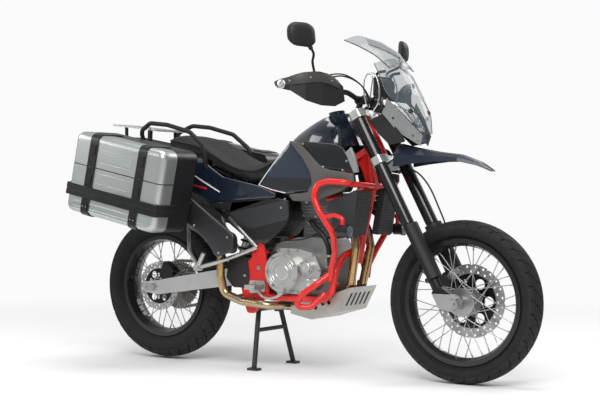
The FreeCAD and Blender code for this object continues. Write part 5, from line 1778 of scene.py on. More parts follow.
    def cases(self, shop: Workshop, side: int, name: str, lid: Body) -> None:
        """Make one case's shell halves and straps in place of its solids.

        Args:
            shop: Makes the pieces.
            side: 1 on the left, -1 on the right.
            name: The side's word in piece names.
            lid: The lid's body.
        """
        skin = PannierShell()
        ring, hole = self.outline(0), self.outline(4)
        rings = [[self.spot(a, out, u, side) for a, u in places] for out, places in (
            (340.0, ring), (266.0, ring), (266.0, hole), (340.0, hole), (340.0, ring))]
        base = loft(rings, caps=False)
        base.join(slab([self.spot(a, 266.0, u, side) for a, u in ring],
                       Vector((0, side * 0.004, 0))))
        shop.piece("pannier_shell_lower_" + name,
                   self.shell_part(False, side, 340.0).join(base), Body.CHASSIS, skin,
                   32, stands_for=("pannier_body_" + name,))
        shop.piece("pannier_shell_upper_" + name, self.shell_part(True, side, 340.4), lid, skin,
                   32, stands_for=("pannier_lid_" + name,))
        for upper, part, body in ((True, "upper", lid), (False, "lower", Body.CHASSIS)):
            straps = Mesh()
            for at in (-self.strap_at, self.strap_at):
                straps.join(self.strap_part(upper, side, at))
            node = "pannier_lid_" if upper else "pannier_body_"
            shop.piece("pannier_straps_" + part + "_" + name, straps, body, STRAP_BLACK,
                       32, stands_for=(node + name,))

    def belt(self, side: int) -> Mesh:
        """Wrap the protective band round the rear, outer and front walls, over the straps.

        Args:
            side: 1 on the left, -1 on the right.

        Returns:
            The band.
        """
        rings = []
        for up, shrink in self.belt_rows:
            ring = []
            for along, out in self.belt_plan:
                outer = out > 494.9 or abs(along) > 252.3
                trim_along = math.copysign(shrink, along) if outer and abs(along) > 250 else 0.0
                trim_out = shrink if outer and out > 499 else 0.0
                ring.append(self.spot(along - trim_along, out - trim_out, up, side))
            rings.append(ring)
        return loft(rings)

    def knuckle(self, start: float, end: float, side: int) -> Mesh:
        """Turn one hinge knuckle on the lid's axis.

        Args:
            start: Its rear end.
            end: Its front end.
            side: 1 on the left, -1 on the right.

        Returns:
            The knuckle.
        """
        first = self.spot(start, self.strap_face + 0.5, self.seam, side)
        last = self.spot(end, self.strap_face + 0.5, self.seam, side)
        length = (last - first).length
        return spun(((0.0034, 0.0), (0.0044, 0.0008), (0.0044, length - 0.0008), (0.0034, length)),
                    first, last - first, 16)

    def build_side(self, shop: Workshop, side: int, name: str, lid: Body) -> None:
        """Make one case's details.

        Args:
            shop: Makes the pieces.
            side: 1 on the left, -1 on the right.
            name: The side's word in piece names.
            lid: The lid's body.
        """
        upper = Mesh()
        lower = Mesh()
        for half, long_ribs, short_ribs in ((upper, (158.0, 147.0), (116.0, 62.0)),
                                            (lower, (-158.0, -147.0, -124.0), (14.0, -30.0))):
            for up in long_ribs:
                half.join(self.rib(*self.rib_span, up, side))
            for up in short_ribs:
                half.join(self.rib(*self.short_span, up, side, 0.002))
        upper.join(self.plate(0, 89, 168, 34, self.wall, 1.6, side))
        shop.piece("pannier_ribs_upper_" + name, upper, lid, CASE_ALLOY, 50)
        shop.piece("pannier_ribs_lower_" + name, lower, Body.CHASSIS, CASE_ALLOY,
                   50)
        moving = Mesh()
        fixed = Mesh()
        for at in (-self.strap_at, self.strap_at):
            fixed.join(self.knuckle(at - 10, at + 10, side))
            for start in (at - 21, at + 11):
                moving.join(self.knuckle(start, start + 10, side))
            moving.join(self.plate(at, 112, 30, 46, self.strap_face, 3.2, side, 4))
            fixed.join(self.plate(at, -18, 30, 40, self.strap_face, 3.2, side, 4))
            fixed.join(self.plate(at, -140, 32, 30, self.strap_face, 2.2, side, 4))
        shop.piece("pannier_belt_" + name, self.belt(side), Body.CHASSIS, STRAP_BLACK,
                   30)
        shop.piece("pannier_latches_upper_" + name, moving, lid, STRAP_BLACK, 35,
                   bevel=0.0008)
        shop.piece("pannier_latches_lower_" + name, fixed, Body.CHASSIS, STRAP_BLACK,
                   35, bevel=0.0008)
        screws = Mesh()
        for at in (-self.strap_at, self.strap_at):
            for shift in (-9.0, 9.0):
                screws.join(cap_screw(self.spot(at + shift, self.strap_face + 2.2, -140, side),
                                      Vector((0, side, 0)), 0.0028, 0.0016))
        shop.piece("pannier_screws_" + name, screws, Body.CHASSIS, BOLT_STEEL, 35)

    def build(self, shop: Workshop) -> None:
        """Make both cases.

        Args:
            shop: Makes the pieces.
        """
        for side, name, lid in ((RIGHT, "right", Body.LID_RIGHT), (LEFT, "left", Body.LID_LEFT)):
            self.cases(shop, side, name, lid)
            self.build_side(shop, side, name, lid)
        LOG.info("panniers")


# Nose and screen


@dataclass
class Nose:
    """Screen fixings, lamp surround and panel screws, all on the steering."""

    def fixing(self, at: Point, axis: Vector) -> Mesh:
        """Build one domed screen fixing with its collar."""
        return spun(((0.011, -0.003), (0.011, 0.002), (0.009, 0.004), (0.006, 0.0045),
                     (0.0056, 0.0065), (0.0035, 0.0078), (0.0005, 0.0082)), mm(*at), axis, 20)

    def lamp_surround(self) -> Mesh:
        """Frame the lamp's face with a dark rolled edge.

        Returns:
            The edge.
        """
        edge = twin_pipes(((1206, 97, 1136), (1262, 79, 1080), (1312, 43, 1020)), 0.004, 8)
        edge.join(twin_pipes(((1200, 97, 1084), (1262, 79, 1024), (1316, 39, 976)), 0.004, 8))
        return edge.join(pipe([(1320, y, 1014 - abs(y) * 0.05) for y in (-38, -20, 0, 20, 38)],
                              0.0035, 8))

    def screen_edges(self) -> Mesh:
        """Bead the free edges of the screen and its deflector.

        Returns:
            The beads.
        """
        beads = twin_pipes(((1330, 53, 1012), (1288, 113, 1100), (1228, 147, 1168),
                            (1188, 143, 1250), (1146, 109, 1296)), 0.0019, 8)
        return beads.join(twin_pipes(((1216, 101, 1274), (1152, 111, 1328), (1074, 113, 1370),
                                      (1000, 105, 1400)), 0.0019, 8))

    def loops(self) -> Mesh:
        """Bend the bright tubular loops beside the instruments.

        Returns:
            The tubes.
        """
        tubes = twin_pipes(((1092, 70, 1120), (1082, 74, 1160), (1077, 75, 1204),
                            (1083, 75, 1242), (1101, 74, 1258), (1118, 74, 1244),
                            (1113, 74, 1200), (1106, 72, 1150), (1102, 69, 1118)), 0.0034)
        return tubes.join(twin_pipes(((1122, 69, 1104), (1146, 73, 1136), (1152, 75, 1180),
                                      (1146, 76, 1222), (1130, 76, 1256), (1113, 74, 1262)),
                                     0.0034))

    def build(self, shop: Workshop) -> None:
        """Make the nose's pieces.

        Args:
            shop: Makes the pieces.
        """
        shop.piece("screen_edges", self.screen_edges(), Body.STEERING, DASH_GLASS,
                   60)
        shop.piece("dash_loops", self.loops(), Body.STEERING, BRUSHED_ALLOY, 60)
        shop.piece("lamp_surround", self.lamp_surround(), Body.STEERING, BLACK_PLASTIC,
                   60)
        fixings = Mesh()
        for at, lean in (((1216, -98, 1214), 0.35), ((1216, 98, 1214), 0.35),
                         ((1300, -78, 1098), 0.5), ((1300, 78, 1098), 0.5)):
            side = -1 if at[1] < 0 else 1
            fixings.join(self.fixing(at, Vector((1.0, side * 0.75, lean))))
        shop.piece("screen_fixings", fixings, Body.STEERING, BLACK_PLASTIC, 40)
        screws = Mesh()
        for side, _ in SIDES:
            for x, y, z in ((1206, 130.4, 1116), (1236, 109.0, 1070), (1300, 58.0, 1000)):
                screws.join(cap_screw(mm(x, side * y, z), Vector((0.5, side, 0)), 0.0044, 0.0028))
        shop.piece("fairing_screws", screws, Body.STEERING, BOLT_BLACK, 35)
        LOG.info("nose")


# Bars and mirrors


@dataclass
class Controls:
    """Grips, bar ends, guard wings, cables and clamps, all on the steering."""

    inner: Point = (949, 304, 1197.4)
    outer: Point = (928, 432, 1196)
    guard: tuple[tuple[float, float, float, float, float, float], ...] = (
        (900, 462.8, 1188, 1206, 0, 1), (934, 463.2, 1190, 1217, 0, 1),
        (968, 463.2, 1192, 1223, 0, 1), (998, 452, 1194, 1234, 0.35, 0.9),
        (1020, 437, 1198, 1241, 0.6, 0.8), (1042, 408, 1202, 1245, 0.75, 0.6),
        (1057, 377, 1204, 1247, 0.9, 0.43), (1068, 338, 1200, 1242, 0.97, 0.2),
        (1073, 300, 1192, 1233, 1, 0.1), (1076, 262, 1184, 1216, 1, 0.05))

    def grip(self, side: int) -> Mesh:
        """Ring one grip with ribs and flanges.

        Args:
            side: 1 on the left, -1 on the right.

        Returns:
            The grip.
        """
        first, last = (mm(x, side * y, z) for x, y, z in (self.inner, self.outer))
        profile = [(0.0216, 0.0), (0.0216, 0.003), (0.0178, 0.0045)]
        at = 0.008
        while at < 0.112:
            profile += [(0.0164, at), (0.0172, at + 0.0012), (0.0172, at + 0.0034),
                        (0.0164, at + 0.0046)]
            at += 0.0062
        return spun(profile, first, last - first, 28)

    def bar_end(self, side: int) -> Mesh:
        """Turn the bright ring and screw outside one guard's mount.

        Args:
            side: 1 on the left, -1 on the right.

        Returns:
            The ring and screw.
        """
        return spun(((0.0195, 0.0), (0.0195, 0.004), (0.0165, 0.0062), (0.0085, 0.0062),
                     (0.0082, 0.0085), (0.0045, 0.0085), (0.0042, 0.005), (0.0002, 0.005)),
                    mm(927, side * 461.6, 1196), Vector((0, side, 0)), 28)

    def wing(self, side: int) -> Mesh:
        """Lay the contrasting upper wing over one guard.

        Args:
            side: 1 on the left, -1 on the right.

        Returns:
            The wing.
        """
        rings = []
        for x, y, low, high, nx, ny in self.guard:
            out = Vector((nx, side * ny, 0)).normalized()
            loop = []
            for drop, rise in ((0.0, 0.0006), (0.15, 0.0024), (0.5, 0.0032), (0.85, 0.0028),
                               (1.0, 0.0012), (1.0, -0.0042), (0.5, -0.002), (0.0, -0.002)):
                z = low + (high - low) * drop
                loop.append(mm(x - 8 * drop, side * y, z) + out * rise)
            rings.append(loop)
        return loft(rings)

    def guard_screws(self, side: int) -> Mesh:
        """Build the screws that hold the wing.

        Args:
            side: 1 on the left, -1 on the right.

        Returns:
            The screws.
        """
        heads = Mesh()
        for x, y, z, nx, ny in ((966, 466.0, 1207, 0, 1), (1036, 419, 1222, 0.72, 0.65),
                                (1074, 318, 1212, 1, 0.15)):
            out = Vector((nx, side * ny, 0)).normalized()
            heads.join(cap_screw(mm(x, side * y, z) - out * 0.001, out, 0.0042, 0.0024))
        return heads

    def cables(self) -> Mesh:
        """Run the clutch and throttle cables and the brake line from the bar.

        Returns:
            The cables.
        """
        lines = Mesh()
        for radius, points in (
                (0.0034, ((968, -268, 1192), (1004, -258, 1224), (1056, -214, 1240),
                          (1098, -150, 1214), (1112, -92, 1160), (1104, -60, 1112))),
                (0.003, ((964, -292, 1210), (1012, -262, 1240), (1062, -206, 1246),
                         (1100, -134, 1206), (1108, -84, 1144), (1100, -50, 1108))),
                (0.0036, ((966, 272, 1194), (1006, 258, 1226), (1058, 208, 1238),
                          (1098, 146, 1208), (1110, 90, 1156), (1104, 56, 1112)))):
            lines.join(pipe(points, radius, 8))
        return lines

    def clamps(self) -> Mesh:
        """Build the two bar clamps' caps with their screws.

        Returns:
            The caps and screws.
        """
        caps = Mesh()
        for side, _ in SIDES:
            for along in (-9.0, 9.0):
                for ahead in (-1, 1):
                    caps.join(cap_screw(mm(1046 + ahead * 17, side * 46 + along, 1166),
                                        Vector((0.35, 0, 1)), 0.0045, 0.005))
            ring = rounded_outline(((1022, 1146), (1030, 1166), (1064, 1168), (1070, 1150),
                                    (1062, 1134), (1034, 1132)), 8)
            caps.join(slab([mm(x, side * 46 - 15, z) for x, z in ring], Vector((0, 0.03, 0))))
        return caps

    def build(self, shop: Workshop) -> None:
        """Make the bar's pieces.

        Args:
            shop: Makes the pieces.
        """
        ends, grips, wings, screws = Mesh(), Mesh(), Mesh(), Mesh()
        for side, _ in SIDES:
            grips.join(self.grip(side))
            ends.join(self.bar_end(side))
            wings.join(self.wing(side))
            screws.join(self.guard_screws(side))
        shop.piece("grip_ribs", grips, Body.STEERING, GRIP_RUBBER, 40)
        shop.piece("bar_ends", ends, Body.STEERING, BRUSHED_ALLOY, 40)
        shop.piece("guard_wings", wings, Body.STEERING, GUARD_GREY, 50)
        shop.piece("guard_screws", screws, Body.STEERING, BOLT_STEEL, 35)
        shop.piece("bar_cables", self.cables(), Body.STEERING, STRAP_BLACK, 60)
        shop.piece("bar_clamps", self.clamps(), Body.STEERING, BLACK_STEEL, 35,
                   bevel=0.001)
        LOG.info("bars")


@dataclass
class Mirrors:
    """The two mirrors, heads with rounded corners on curved stems, in place of the solids."""

    centre: Point = (990, 415, 1393)
    base: Point = (972, 290, 1234)
    outline: tuple[tuple[float, float], ...] = (
        (-70, -30), (-62, 34), (-26, 50), (44, 48), (72, 26), (70, -24), (34, -46), (-42, -48))

    def build_side(self, shop: Workshop, side: int, name: str) -> None:
        """Make one mirror.

        Args:
            shop: Makes the pieces.
            side: 1 on the left, -1 on the right.
            name: The side's word in piece names.
        """
        centre = mm(self.centre[0], side * self.centre[1], self.centre[2])
        across = Vector((-0.3, side * 0.95, 0)).normalized()
        back = Vector((-0.95, side * -0.3, 0.1)).normalized()
        up = Vector((0, 0, 1))
        ring = rounded_outline(self.outline, 17, 5)

        def row(depth: float, share: float) -> list[Vector]:
            """Return the head's outline at one depth."""
            return [centre + (across * a + up * b) * (share / 1000) + back * (depth / 1000)
                    for a, b in ring]
        head = loft([row(depth, share) for depth, share in (
            (-24, 0.3), (-23, 0.5), (-19, 0.76), (-12, 0.92), (-4, 0.985), (3, 1.0), (6, 0.99),
            (6.4, 0.95), (4.6, 0.925))])
        shop.piece("mirror_head_" + name, head, Body.STEERING, BLACK_PLASTIC, 38,
                   stands_for=("mirrors",))
        glass = loft([row(4.2, 0.925), row(5.4, 0.92), row(5.6, 0.9)])
        shop.piece("mirror_glass_" + name, glass, Body.STEERING, MIRROR_GLASS, 30)
        base = mm(self.base[0], side * self.base[1], self.base[2])
        foot = centre + across * -0.03 + up * -0.03 - back * 0.004
        bend = centre + Vector((0.018, side * -0.06, -0.07))
        stem = hose([base, base + Vector((0.001, side * 0.004, 0.022)),
                     base + Vector((0.003, side * 0.02, 0.06)), bend, foot], 0.0052, 12)
        boot = spun(((0.0125, 0.0), (0.0125, 0.006), (0.0105, 0.008), (0.0105, 0.013),
                     (0.0085, 0.015), (0.0085, 0.02), (0.007, 0.023), (0.0052, 0.025)),
                    base - up * 0.0005, Vector((0.04, side * 0.16, 1)), 20)
        knob = spun(((0.0052, -0.034), (0.0085, -0.03), (0.0095, -0.018), (0.0085, -0.004),
                     (0.004, 0.0)), foot, foot - bend, 18)
        shop.piece("mirror_stem_" + name, stem.join(boot).join(knob), Body.STEERING,
                   BLACK_PLASTIC, 40, stands_for=("mirrors",))

    def build(self, shop: Workshop) -> None:
        """Make both mirrors.

        Args:
            shop: Makes the pieces.
        """
        for side, name in SIDES:
            self.build_side(shop, side, name)
        LOG.info("mirrors")


# Engine


@dataclass
class Engine:
    """Cover bolts, rings, head ribs and hoses on the engine, with the radiator's hoses."""

    clutch_outline: tuple[tuple[float, float], ...] = (
        (661, 369), (661, 465), (704, 520), (752, 520), (798, 520), (874, 503), (906, 440),
        (884, 365), (800, 344), (750, 344), (706, 344))
    left_outline: tuple[tuple[float, float], ...] = (
        (708, 358), (723, 494), (790, 531), (884, 513), (916, 430), (884, 357), (800, 346))
    clutch: tuple[float, float] = (735, 429)
    clutch_bolts: float = 75.0
    generator: tuple[float, float] = (815, 430)
    generator_bolts: float = 58.0
    filler: tuple[float, float] = (682, 502)

    def cover_bolts(self) -> Mesh:
        """Place the flange bolts round both covers.

        Returns:
            The bolts and screws.
        """
        heads = Mesh()
        (cx, cz), (gx, gz) = self.clutch, self.generator
        for x, z in self.clutch_outline:
            if math.hypot(x - cx, z - cz) > self.clutch_bolts + 15:
                heads.join(bolt(mm(x, -140, z), Vector((0, -1, 0)), 0.0048, 0.006))
        for k in range(7):
            angle = math.radians(26 + k * 360 / 7)
            at = mm(cx + self.clutch_bolts * math.cos(angle), -172,
                    cz + self.clutch_bolts * math.sin(angle))
            heads.join(bolt(at, Vector((0, -1, 0)), 0.0044, 0.005))
        for x, z in ((828, 470), (872, 434), (852, 480), (850, 424)):
            heads.join(cap_screw(mm(x, -160, z), Vector((0, -1, 0)), 0.004, 0.004))
        for x, z in ((866, 405), (866, 367)):
            heads.join(cap_screw(mm(x, -154, z), Vector((0, -1, 0)), 0.0038, 0.004))
        for x, z in self.left_outline:
            heads.join(bolt(mm(x, 125.6, z), Vector((0, 1, 0)), 0.0048, 0.006))
        for angle in angles(6):
            at = mm(gx + self.generator_bolts * math.cos(angle), 147.6,
                    gz + self.generator_bolts * math.sin(angle))
            heads.join(bolt(at, Vector((0, 1, 0)), 0.0042, 0.005))
        return heads

    def rings(self) -> Mesh:
        """Turn the raised rings on the clutch lid and the caps on both covers.

        Returns:
            The rings and caps.
        """
        parts = Mesh()
        (cx, cz), (gx, gz) = self.clutch, self.generator
        axis = Vector((0, -1, 0))
        for radius, wide, face in ((0.0655, 0.0045, 167.0), (0.052, 0.0028, 167.0)):
            parts.join(turned_ring([(radius, -(face - 1) / 1000), (radius, -(face + 1.4) / 1000),
                                    (radius - 0.0008, -(face + 2.2) / 1000),
                                    (radius - wide + 0.0008, -(face + 2.2) / 1000),
                                    (radius - wide, -(face + 1.4) / 1000),
                                    (radius - wide, -(face - 1) / 1000)],
                                   mm(cx, 0, cz), 72))
        parts.join(spun(((0.033, -0.001), (0.033, 0.0016), (0.031, 0.0028), (0.0282, 0.0028),
                         (0.027, 0.0018), (0.0002, 0.0018)), mm(cx, -170, cz), axis, 48))
        parts.join(spun(((0.022, -0.001), (0.022, 0.0025), (0.019, 0.005), (0.008, 0.005),
                         (0.0075, 0.0025), (0.0002, 0.0025)), mm(850, -160, 452), axis, 36))
        parts.join(spun(((0.018, -0.001), (0.0175, 0.002), (0.015, 0.003), (0.0002, 0.003)),
                        mm(866, -154, 386), axis, 32))
        parts.join(spun(((0.046, -0.001), (0.046, 0.003), (0.043, 0.0042), (0.03, 0.0042),
                         (0.028, 0.003), (0.013, 0.003), (0.012, 0.0045), (0.0002, 0.0045)),
                        mm(gx, 147.6, gz), Vector((0, 1, 0)), 48))
        return parts

    def filler_cap(self) -> Mesh:
        """Build the oil filler's cap.

        Returns:
            The cap with its grip.
        """
        x, z = self.filler
        cap = spun(((0.0145, -0.002), (0.0145, 0.006), (0.0125, 0.0085), (0.0002, 0.0085)),
                   mm(x, -140, z), Vector((0, -1, 0)), 10)
        grip = ((-12, -2.4), (12, -2.4), (12, 2.4), (-12, 2.4))
        return cap.join(slab([mm(x + a, -146, z + b) for a, b in grip], Vector((0, -0.008, 0))))

    def head_ribs(self) -> Mesh:
        """Cast thin ribs on both sides of the head and barrel.

        Returns:
            The ribs.
        """
        ribs = Mesh()
        for z, first, last, face in ((682, 784, 918, 81), (694, 784, 920, 81), (706, 782, 922, 81),
                                     (748, 800, 908, 81), (594, 794, 902, 67), (610, 796, 904, 67),
                                     (626, 798, 908, 67), (642, 800, 910, 67)):
            ring = rounded_outline(((first, z - 1.6), (last, z - 1.6), (last, z + 1.6),
                                    (first, z + 1.6)), 1.4, 2)
            ribs.join(slab([mm(x, -face, zz) for x, zz in ring], Vector((0, -0.0045, 0))))
        return ribs.both()

    def head_bolts(self) -> Mesh:
        """Build the bolts and studs of the head and cam cover.

        Returns:
            The bolts.
        """
        heads = Mesh()
        for side, _ in SIDES:
            for x, z in ((786, 660), (848, 656), (914, 653)):
                heads.join(bolt(mm(x, side * 76, z + 8), Vector((0, side, 0)), 0.005, 0.006))
            for x in (824, 850, 878):
                heads.join(bolt(mm(x, side * 56, 780), Vector((0, 0, 1)), 0.0042, 0.005))
            heads.join(spun(((0.009, -0.002), (0.009, 0.0035), (0.006, 0.0045), (0.0002, 0.0045)),
                            mm(806, side * 88, 728), Vector((0, side, 0)), 6))
        return heads

    def coolant(self) -> Mesh:
        """Run the coolant hose down the engine's right side and the radiator's cross hoses.

        Returns:
            The hoses.
        """
        down = pipe(((812, -64, 640), (832, -88, 638), (866, -103, 616), (900, -104, 586),
                     (926, -104, 540), (932, -102, 480), (932, -94, 430), (926, -82, 404)),
                    0.0105, 14)
        return down.join(twin_pipes(((1052, 96, 742), (1022, 88, 744), (980, 76, 738),
                                     (944, 60, 726), (926, 50, 722)), 0.0115, 14))

    def clips(self) -> Mesh:
        """Clamp the hoses with worm-drive clips.

        Returns:
            The clips.
        """
        bands = Mesh()
        for at, axis, radius in (((822, -78, 639.5), (0.75, -0.66, -0.08), 0.0113),
                                 ((932, -98, 455), (0, 0.1, -1), 0.0113),
                                 ((932, -103, 500), (0, 0.0, -1), 0.0113),
                                 ((1040, -93, 743), (-1, 0.27, 0.05), 0.0124),
                                 ((1040, 93, 743), (-1, -0.27, 0.05), 0.0124)):
            bands.join(spun(((radius - 0.001, -0.005), (radius, -0.0045), (radius, 0.0045),
                             (radius - 0.001, 0.005)), mm(*at), Vector(axis), 24))
        return bands

    def wiring(self) -> Mesh:
        """Run the sensor leads and the breather below the tank panels.

        Returns:
            The leads.
        """
        lines = pipe(((640, -100, 585), (690, -112, 600), (744, -106, 612), (776, -92, 640),
                      (782, -86, 690)), 0.0032, 8)
        lines.join(pipe(((700, -98, 560), (744, -118, 562), (800, -118, 566), (842, -98, 580),
                         (850, -70, 592)), 0.0028, 8))
        return lines.join(pipe(((690, 104, 560), (744, 118, 566), (800, 118, 570),
                                (836, 96, 584), (846, 70, 596)), 0.0034, 8))

    def build(self, shop: Workshop) -> None:
        """Make the engine's pieces.

        Args:
            shop: Makes the pieces.
        """
        shop.piece("cover_bolts", self.cover_bolts(), Body.CHASSIS, BOLT_STEEL, 30)
        shop.piece("cover_rings", self.rings(), Body.CHASSIS, COVER_BRIGHT, 30)
        shop.piece("oil_filler", self.filler_cap(), Body.CHASSIS, BLACK_PLASTIC,
                   30, bevel=0.0005)
        shop.piece("head_ribs", self.head_ribs(), Body.CHASSIS, ENGINE_ALLOY, 30)
        shop.piece("head_bolts", self.head_bolts(), Body.CHASSIS, BOLT_STEEL, 30)
        shop.piece("coolant_hoses", self.coolant(), Body.CHASSIS, STRAP_BLACK, 60)
        shop.piece("hose_clips", self.clips(), Body.CHASSIS, BRUSHED_ALLOY, 30)
        shop.piece("engine_leads", self.wiring(), Body.CHASSIS, STRAP_BLACK, 60)
        LOG.info("engine")


# Chain, brakes and wheels' fittings


@dataclass
class Driveline:
    """Chain links with their pin ends, and the rear sprocket's bolts."""

    rear: tuple[float, float, float] = (0.4, 334.0, 109.0)
    front: tuple[float, float, float] = (620.0, 397.0, 41.0)
    station: float = 86.0
    pitch: float = 15.875
    roller: float = 6.4
    bolt_circle: float = 44.0

    def path(self) -> list[tuple[float, float]]:
        """Trace the chain's closed middle line in steps of a millimetre or so.

        Returns:
            Its points as length and height.
        """
        x0, z0, large = self.rear
        x1, z1, small = self.front
        run = math.hypot(x1 - x0, z1 - z0)
        base = math.atan2(z1 - z0, x1 - x0)
        lean = math.asin((large - small) / run)
        line = []
        for cx, cz, r, start, end in (
                (x0, z0, large, base + math.pi / 2 - lean, base + 3 * math.pi / 2 + lean),
                (x1, z1, small, base - math.pi / 2 + lean, base + math.pi / 2 - lean)):
            for k in range(65):
                a = start + (end - start) * k / 64
                line.append((cx + r * math.cos(a), cz + r * math.sin(a)))
        return line

    def pins(self) -> list[tuple[float, float]]:
        """Space the pins evenly along the chain.

        Returns:
            The pins' places as length and height.
        """
        line = [Vector(p) for p in self.path()]
        line.append(line[0])
        total = sum((b - a).length for a, b in zip(line, line[1:]))
        count = round(total / self.pitch / 2) * 2
        step = total / count
        places = []
        walked = 0.0
        for a, b in zip(line, line[1:]):
            length = (b - a).length
            while len(places) * step < walked + length and len(places) < count:
                places.append(tuple(a.lerp(b, (len(places) * step - walked) / length)))
            walked += length
        return places

    def links(self) -> Mesh:
        """Build the chain's side plates, alternately wide and narrow.

        Returns:
            The plates.
        """
        plates = Mesh()
        spots = self.pins()
        for k, (ax, az) in enumerate(spots):
            bx, bz = spots[(k + 1) % len(spots)]
            angle = math.atan2(bz - az, bx - ax)
            ring = []
            for cx, cz, start in ((bx, bz, -80), (ax, az, 100)):
                for turn in (0, 53, 107, 160):
                    a = angle + math.radians(start + turn)
                    ring.append((cx + self.roller * math.cos(a), cz + self.roller * math.sin(a)))
            out = 8.6 if k % 2 else 7.2
            for side in (-1, 1):
                plates.join(slab([mm(x, self.station + side * out, z) for x, z in ring],
                                 Vector((0, side * 0.0016, 0))))
        return plates

    def rivets(self) -> Mesh:
        """Build the pin ends on the outer face.

        Returns:
            The pin ends.
        """
        ends = Mesh()
        for x, z in self.pins():
            ends.join(spun(((0.0022, 0.0), (0.0022, 0.0012), (0.0014, 0.0018)),
                           mm(x, self.station + 9.8, z), Vector((0, 1, 0)), 8))
        return ends

    def build(self, shop: Workshop) -> None:
        """Make the driveline's pieces.

        Args:
            shop: Makes the pieces.
        """
        shop.piece("chain_links", self.links(), Body.CHASSIS, CHAIN_STEEL, 30)
        shop.piece("chain_rivets", self.rivets(), Body.CHASSIS, BOLT_STEEL, 30)
        bolts = Mesh()
        x, z, _ = self.rear
        for angle in angles(6):
            a = angle + math.pi / 6
            bolts.join(bolt(mm(x + self.bolt_circle * math.cos(a), self.station + 3,
                               z + self.bolt_circle * math.sin(a)),
                            Vector((0, 1, 0)), 0.0055, 0.006))
        shop.piece("sprocket_bolts", bolts, Body.REAR_WHEEL, BOLT_STEEL, 30)
        LOG.info("driveline")


@dataclass
class WheelFittings:
    """Disc carrier, bobbins, bolts and spoke nipples of one wheel."""

    end: str
    body: Body
    axle: Vector
    disc_radius: float
    disc_y: float
    inner_rim: float
    side: int
    reach: float = 0.66
    spokes: int = 36
    flange: tuple[float, float] = (0.053, 0.034)
    lacing: float = 52.0
    arms: int = 6

    def nipples(self) -> Mesh:
        """Turn the nipple of every spoke at the rim.

        Returns:
            The nipples.
        """
        parts = Mesh()
        for i, angle in enumerate(angles(self.spokes)):
            side = 1 if i % 2 else -1
            lean = 1 if (i // 2) % 2 else -1
            low = about(self.axle, self.flange[0], side * (self.flange[1] + lean * 0.0032),
                        angle + lean * math.radians(self.lacing))
            high = about(self.axle, self.inner_rim - 0.0003, side * 0.006, angle)
            parts.join(spun(((0.0031, 0.0), (0.0031, 0.011), (0.0023, 0.016)), high, low - high,
                            8))
        return parts

    def carrier(self) -> Mesh:
        """Build the disc's dark carrier ring with its arms.

        Returns:
            The carrier.
        """
        face = self.disc_y + self.side * 0.0023
        out = self.side * 0.0022
        inner, outer = self.disc_radius * 0.3, self.disc_radius * self.reach
        ring = turned_ring([(inner, face - out * 0.2), (inner, face + out),
                            (inner * 1.22, face + out), (inner * 1.22, face - out * 0.2)],
                           self.axle, 60)
        foot = self.axle + Vector((0, face - out * 0.2, 0))
        for angle in angles(self.arms):
            a = angle + math.pi / self.arms
            along = Vector((math.cos(a), 0, math.sin(a)))
            across = Vector((-math.sin(a), 0, math.cos(a)))
            ring.join(slab([foot + along * reach + across * half for reach, half in (
                (inner * 1.1, -0.008), (outer, -0.0045), (outer, 0.0045), (inner * 1.1, 0.008))],
                Vector((0, out * 1.2, 0))))
        return ring

    def bobbins(self) -> Mesh:
        """Build the floating buttons and the carrier's bolts.

        Returns:
            The buttons and bolts.
        """
        parts = Mesh()
        axis = Vector((0, self.side, 0))
        face = self.disc_y + self.side * 0.0022
        for angle in angles(self.arms):
            button = about(self.axle, self.disc_radius * self.reach, face,
                           angle + math.pi / self.arms)
            parts.join(spun(((0.0075, 0.0), (0.0075, 0.003), (0.0055, 0.0036), (0.003, 0.0026),
                             (0.0002, 0.0026)), button, axis, 16))
            screw = about(self.axle, self.disc_radius * 0.335, face + self.side * 0.002, angle)
            parts.join(cap_screw(screw, axis, 0.0045, 0.004))
        return parts

    def build(self, shop: Workshop) -> None:
        """Make the wheel's fittings.

        Args:
            shop: Makes the pieces.
        """
        shop.piece(self.end + "_spoke_nipples", self.nipples(), self.body, BOLT_STEEL,
                   40)
        shop.piece(self.end + "_disc_carrier", self.carrier(), self.body, HUB_ALLOY,
                   30)
        shop.piece(self.end + "_disc_bobbins", self.bobbins(), self.body, BOLT_STEEL,
                   30)
        LOG.info("%s wheel fittings", self.end)


@dataclass
class Brakes:
    """Brake hoses and the front caliper's screws."""

    def front_hose(self) -> Mesh:
        """Run the front brake hose from the caliper up behind the left leg."""
        return pipe(((1380, 78, 436), (1396, 82, 470), (1402, 80, 540), (1384, 76, 630),
                     (1352, 74, 706), (1310, 72, 790), (1262, 68, 846), (1216, 58, 868)), 0.0036)

    def rear_hose(self) -> Mesh:
        """Run the rear brake hose along the right arm."""
        return pipe(((96, -84, 424), (130, -96, 438), (190, -112, 424), (300, -112, 428),
                     (420, -112, 442), (500, -112, 452)), 0.0034)

    def build(self, shop: Workshop) -> None:
        """Make the brakes' pieces.

        Args:
            shop: Makes the pieces.
        """
        shop.piece("front_brake_hose", self.front_hose(), Body.STEERING, STRAP_BLACK,
                   60)
        screws = Mesh()
        for x, z in ((1362, 372), (1384, 424), (1424, 432)):
            screws.join(cap_screw(mm(x, 95, z), Vector((0, 1, 0)), 0.005, 0.004))
        shop.piece("front_caliper_screws", screws, Body.STEERING, BOLT_STEEL, 30)
        shop.piece("rear_brake_hose", self.rear_hose(), Body.CHASSIS, STRAP_BLACK,
                   60)
        LOG.info("brakes")


# Exhaust, tail and running gear


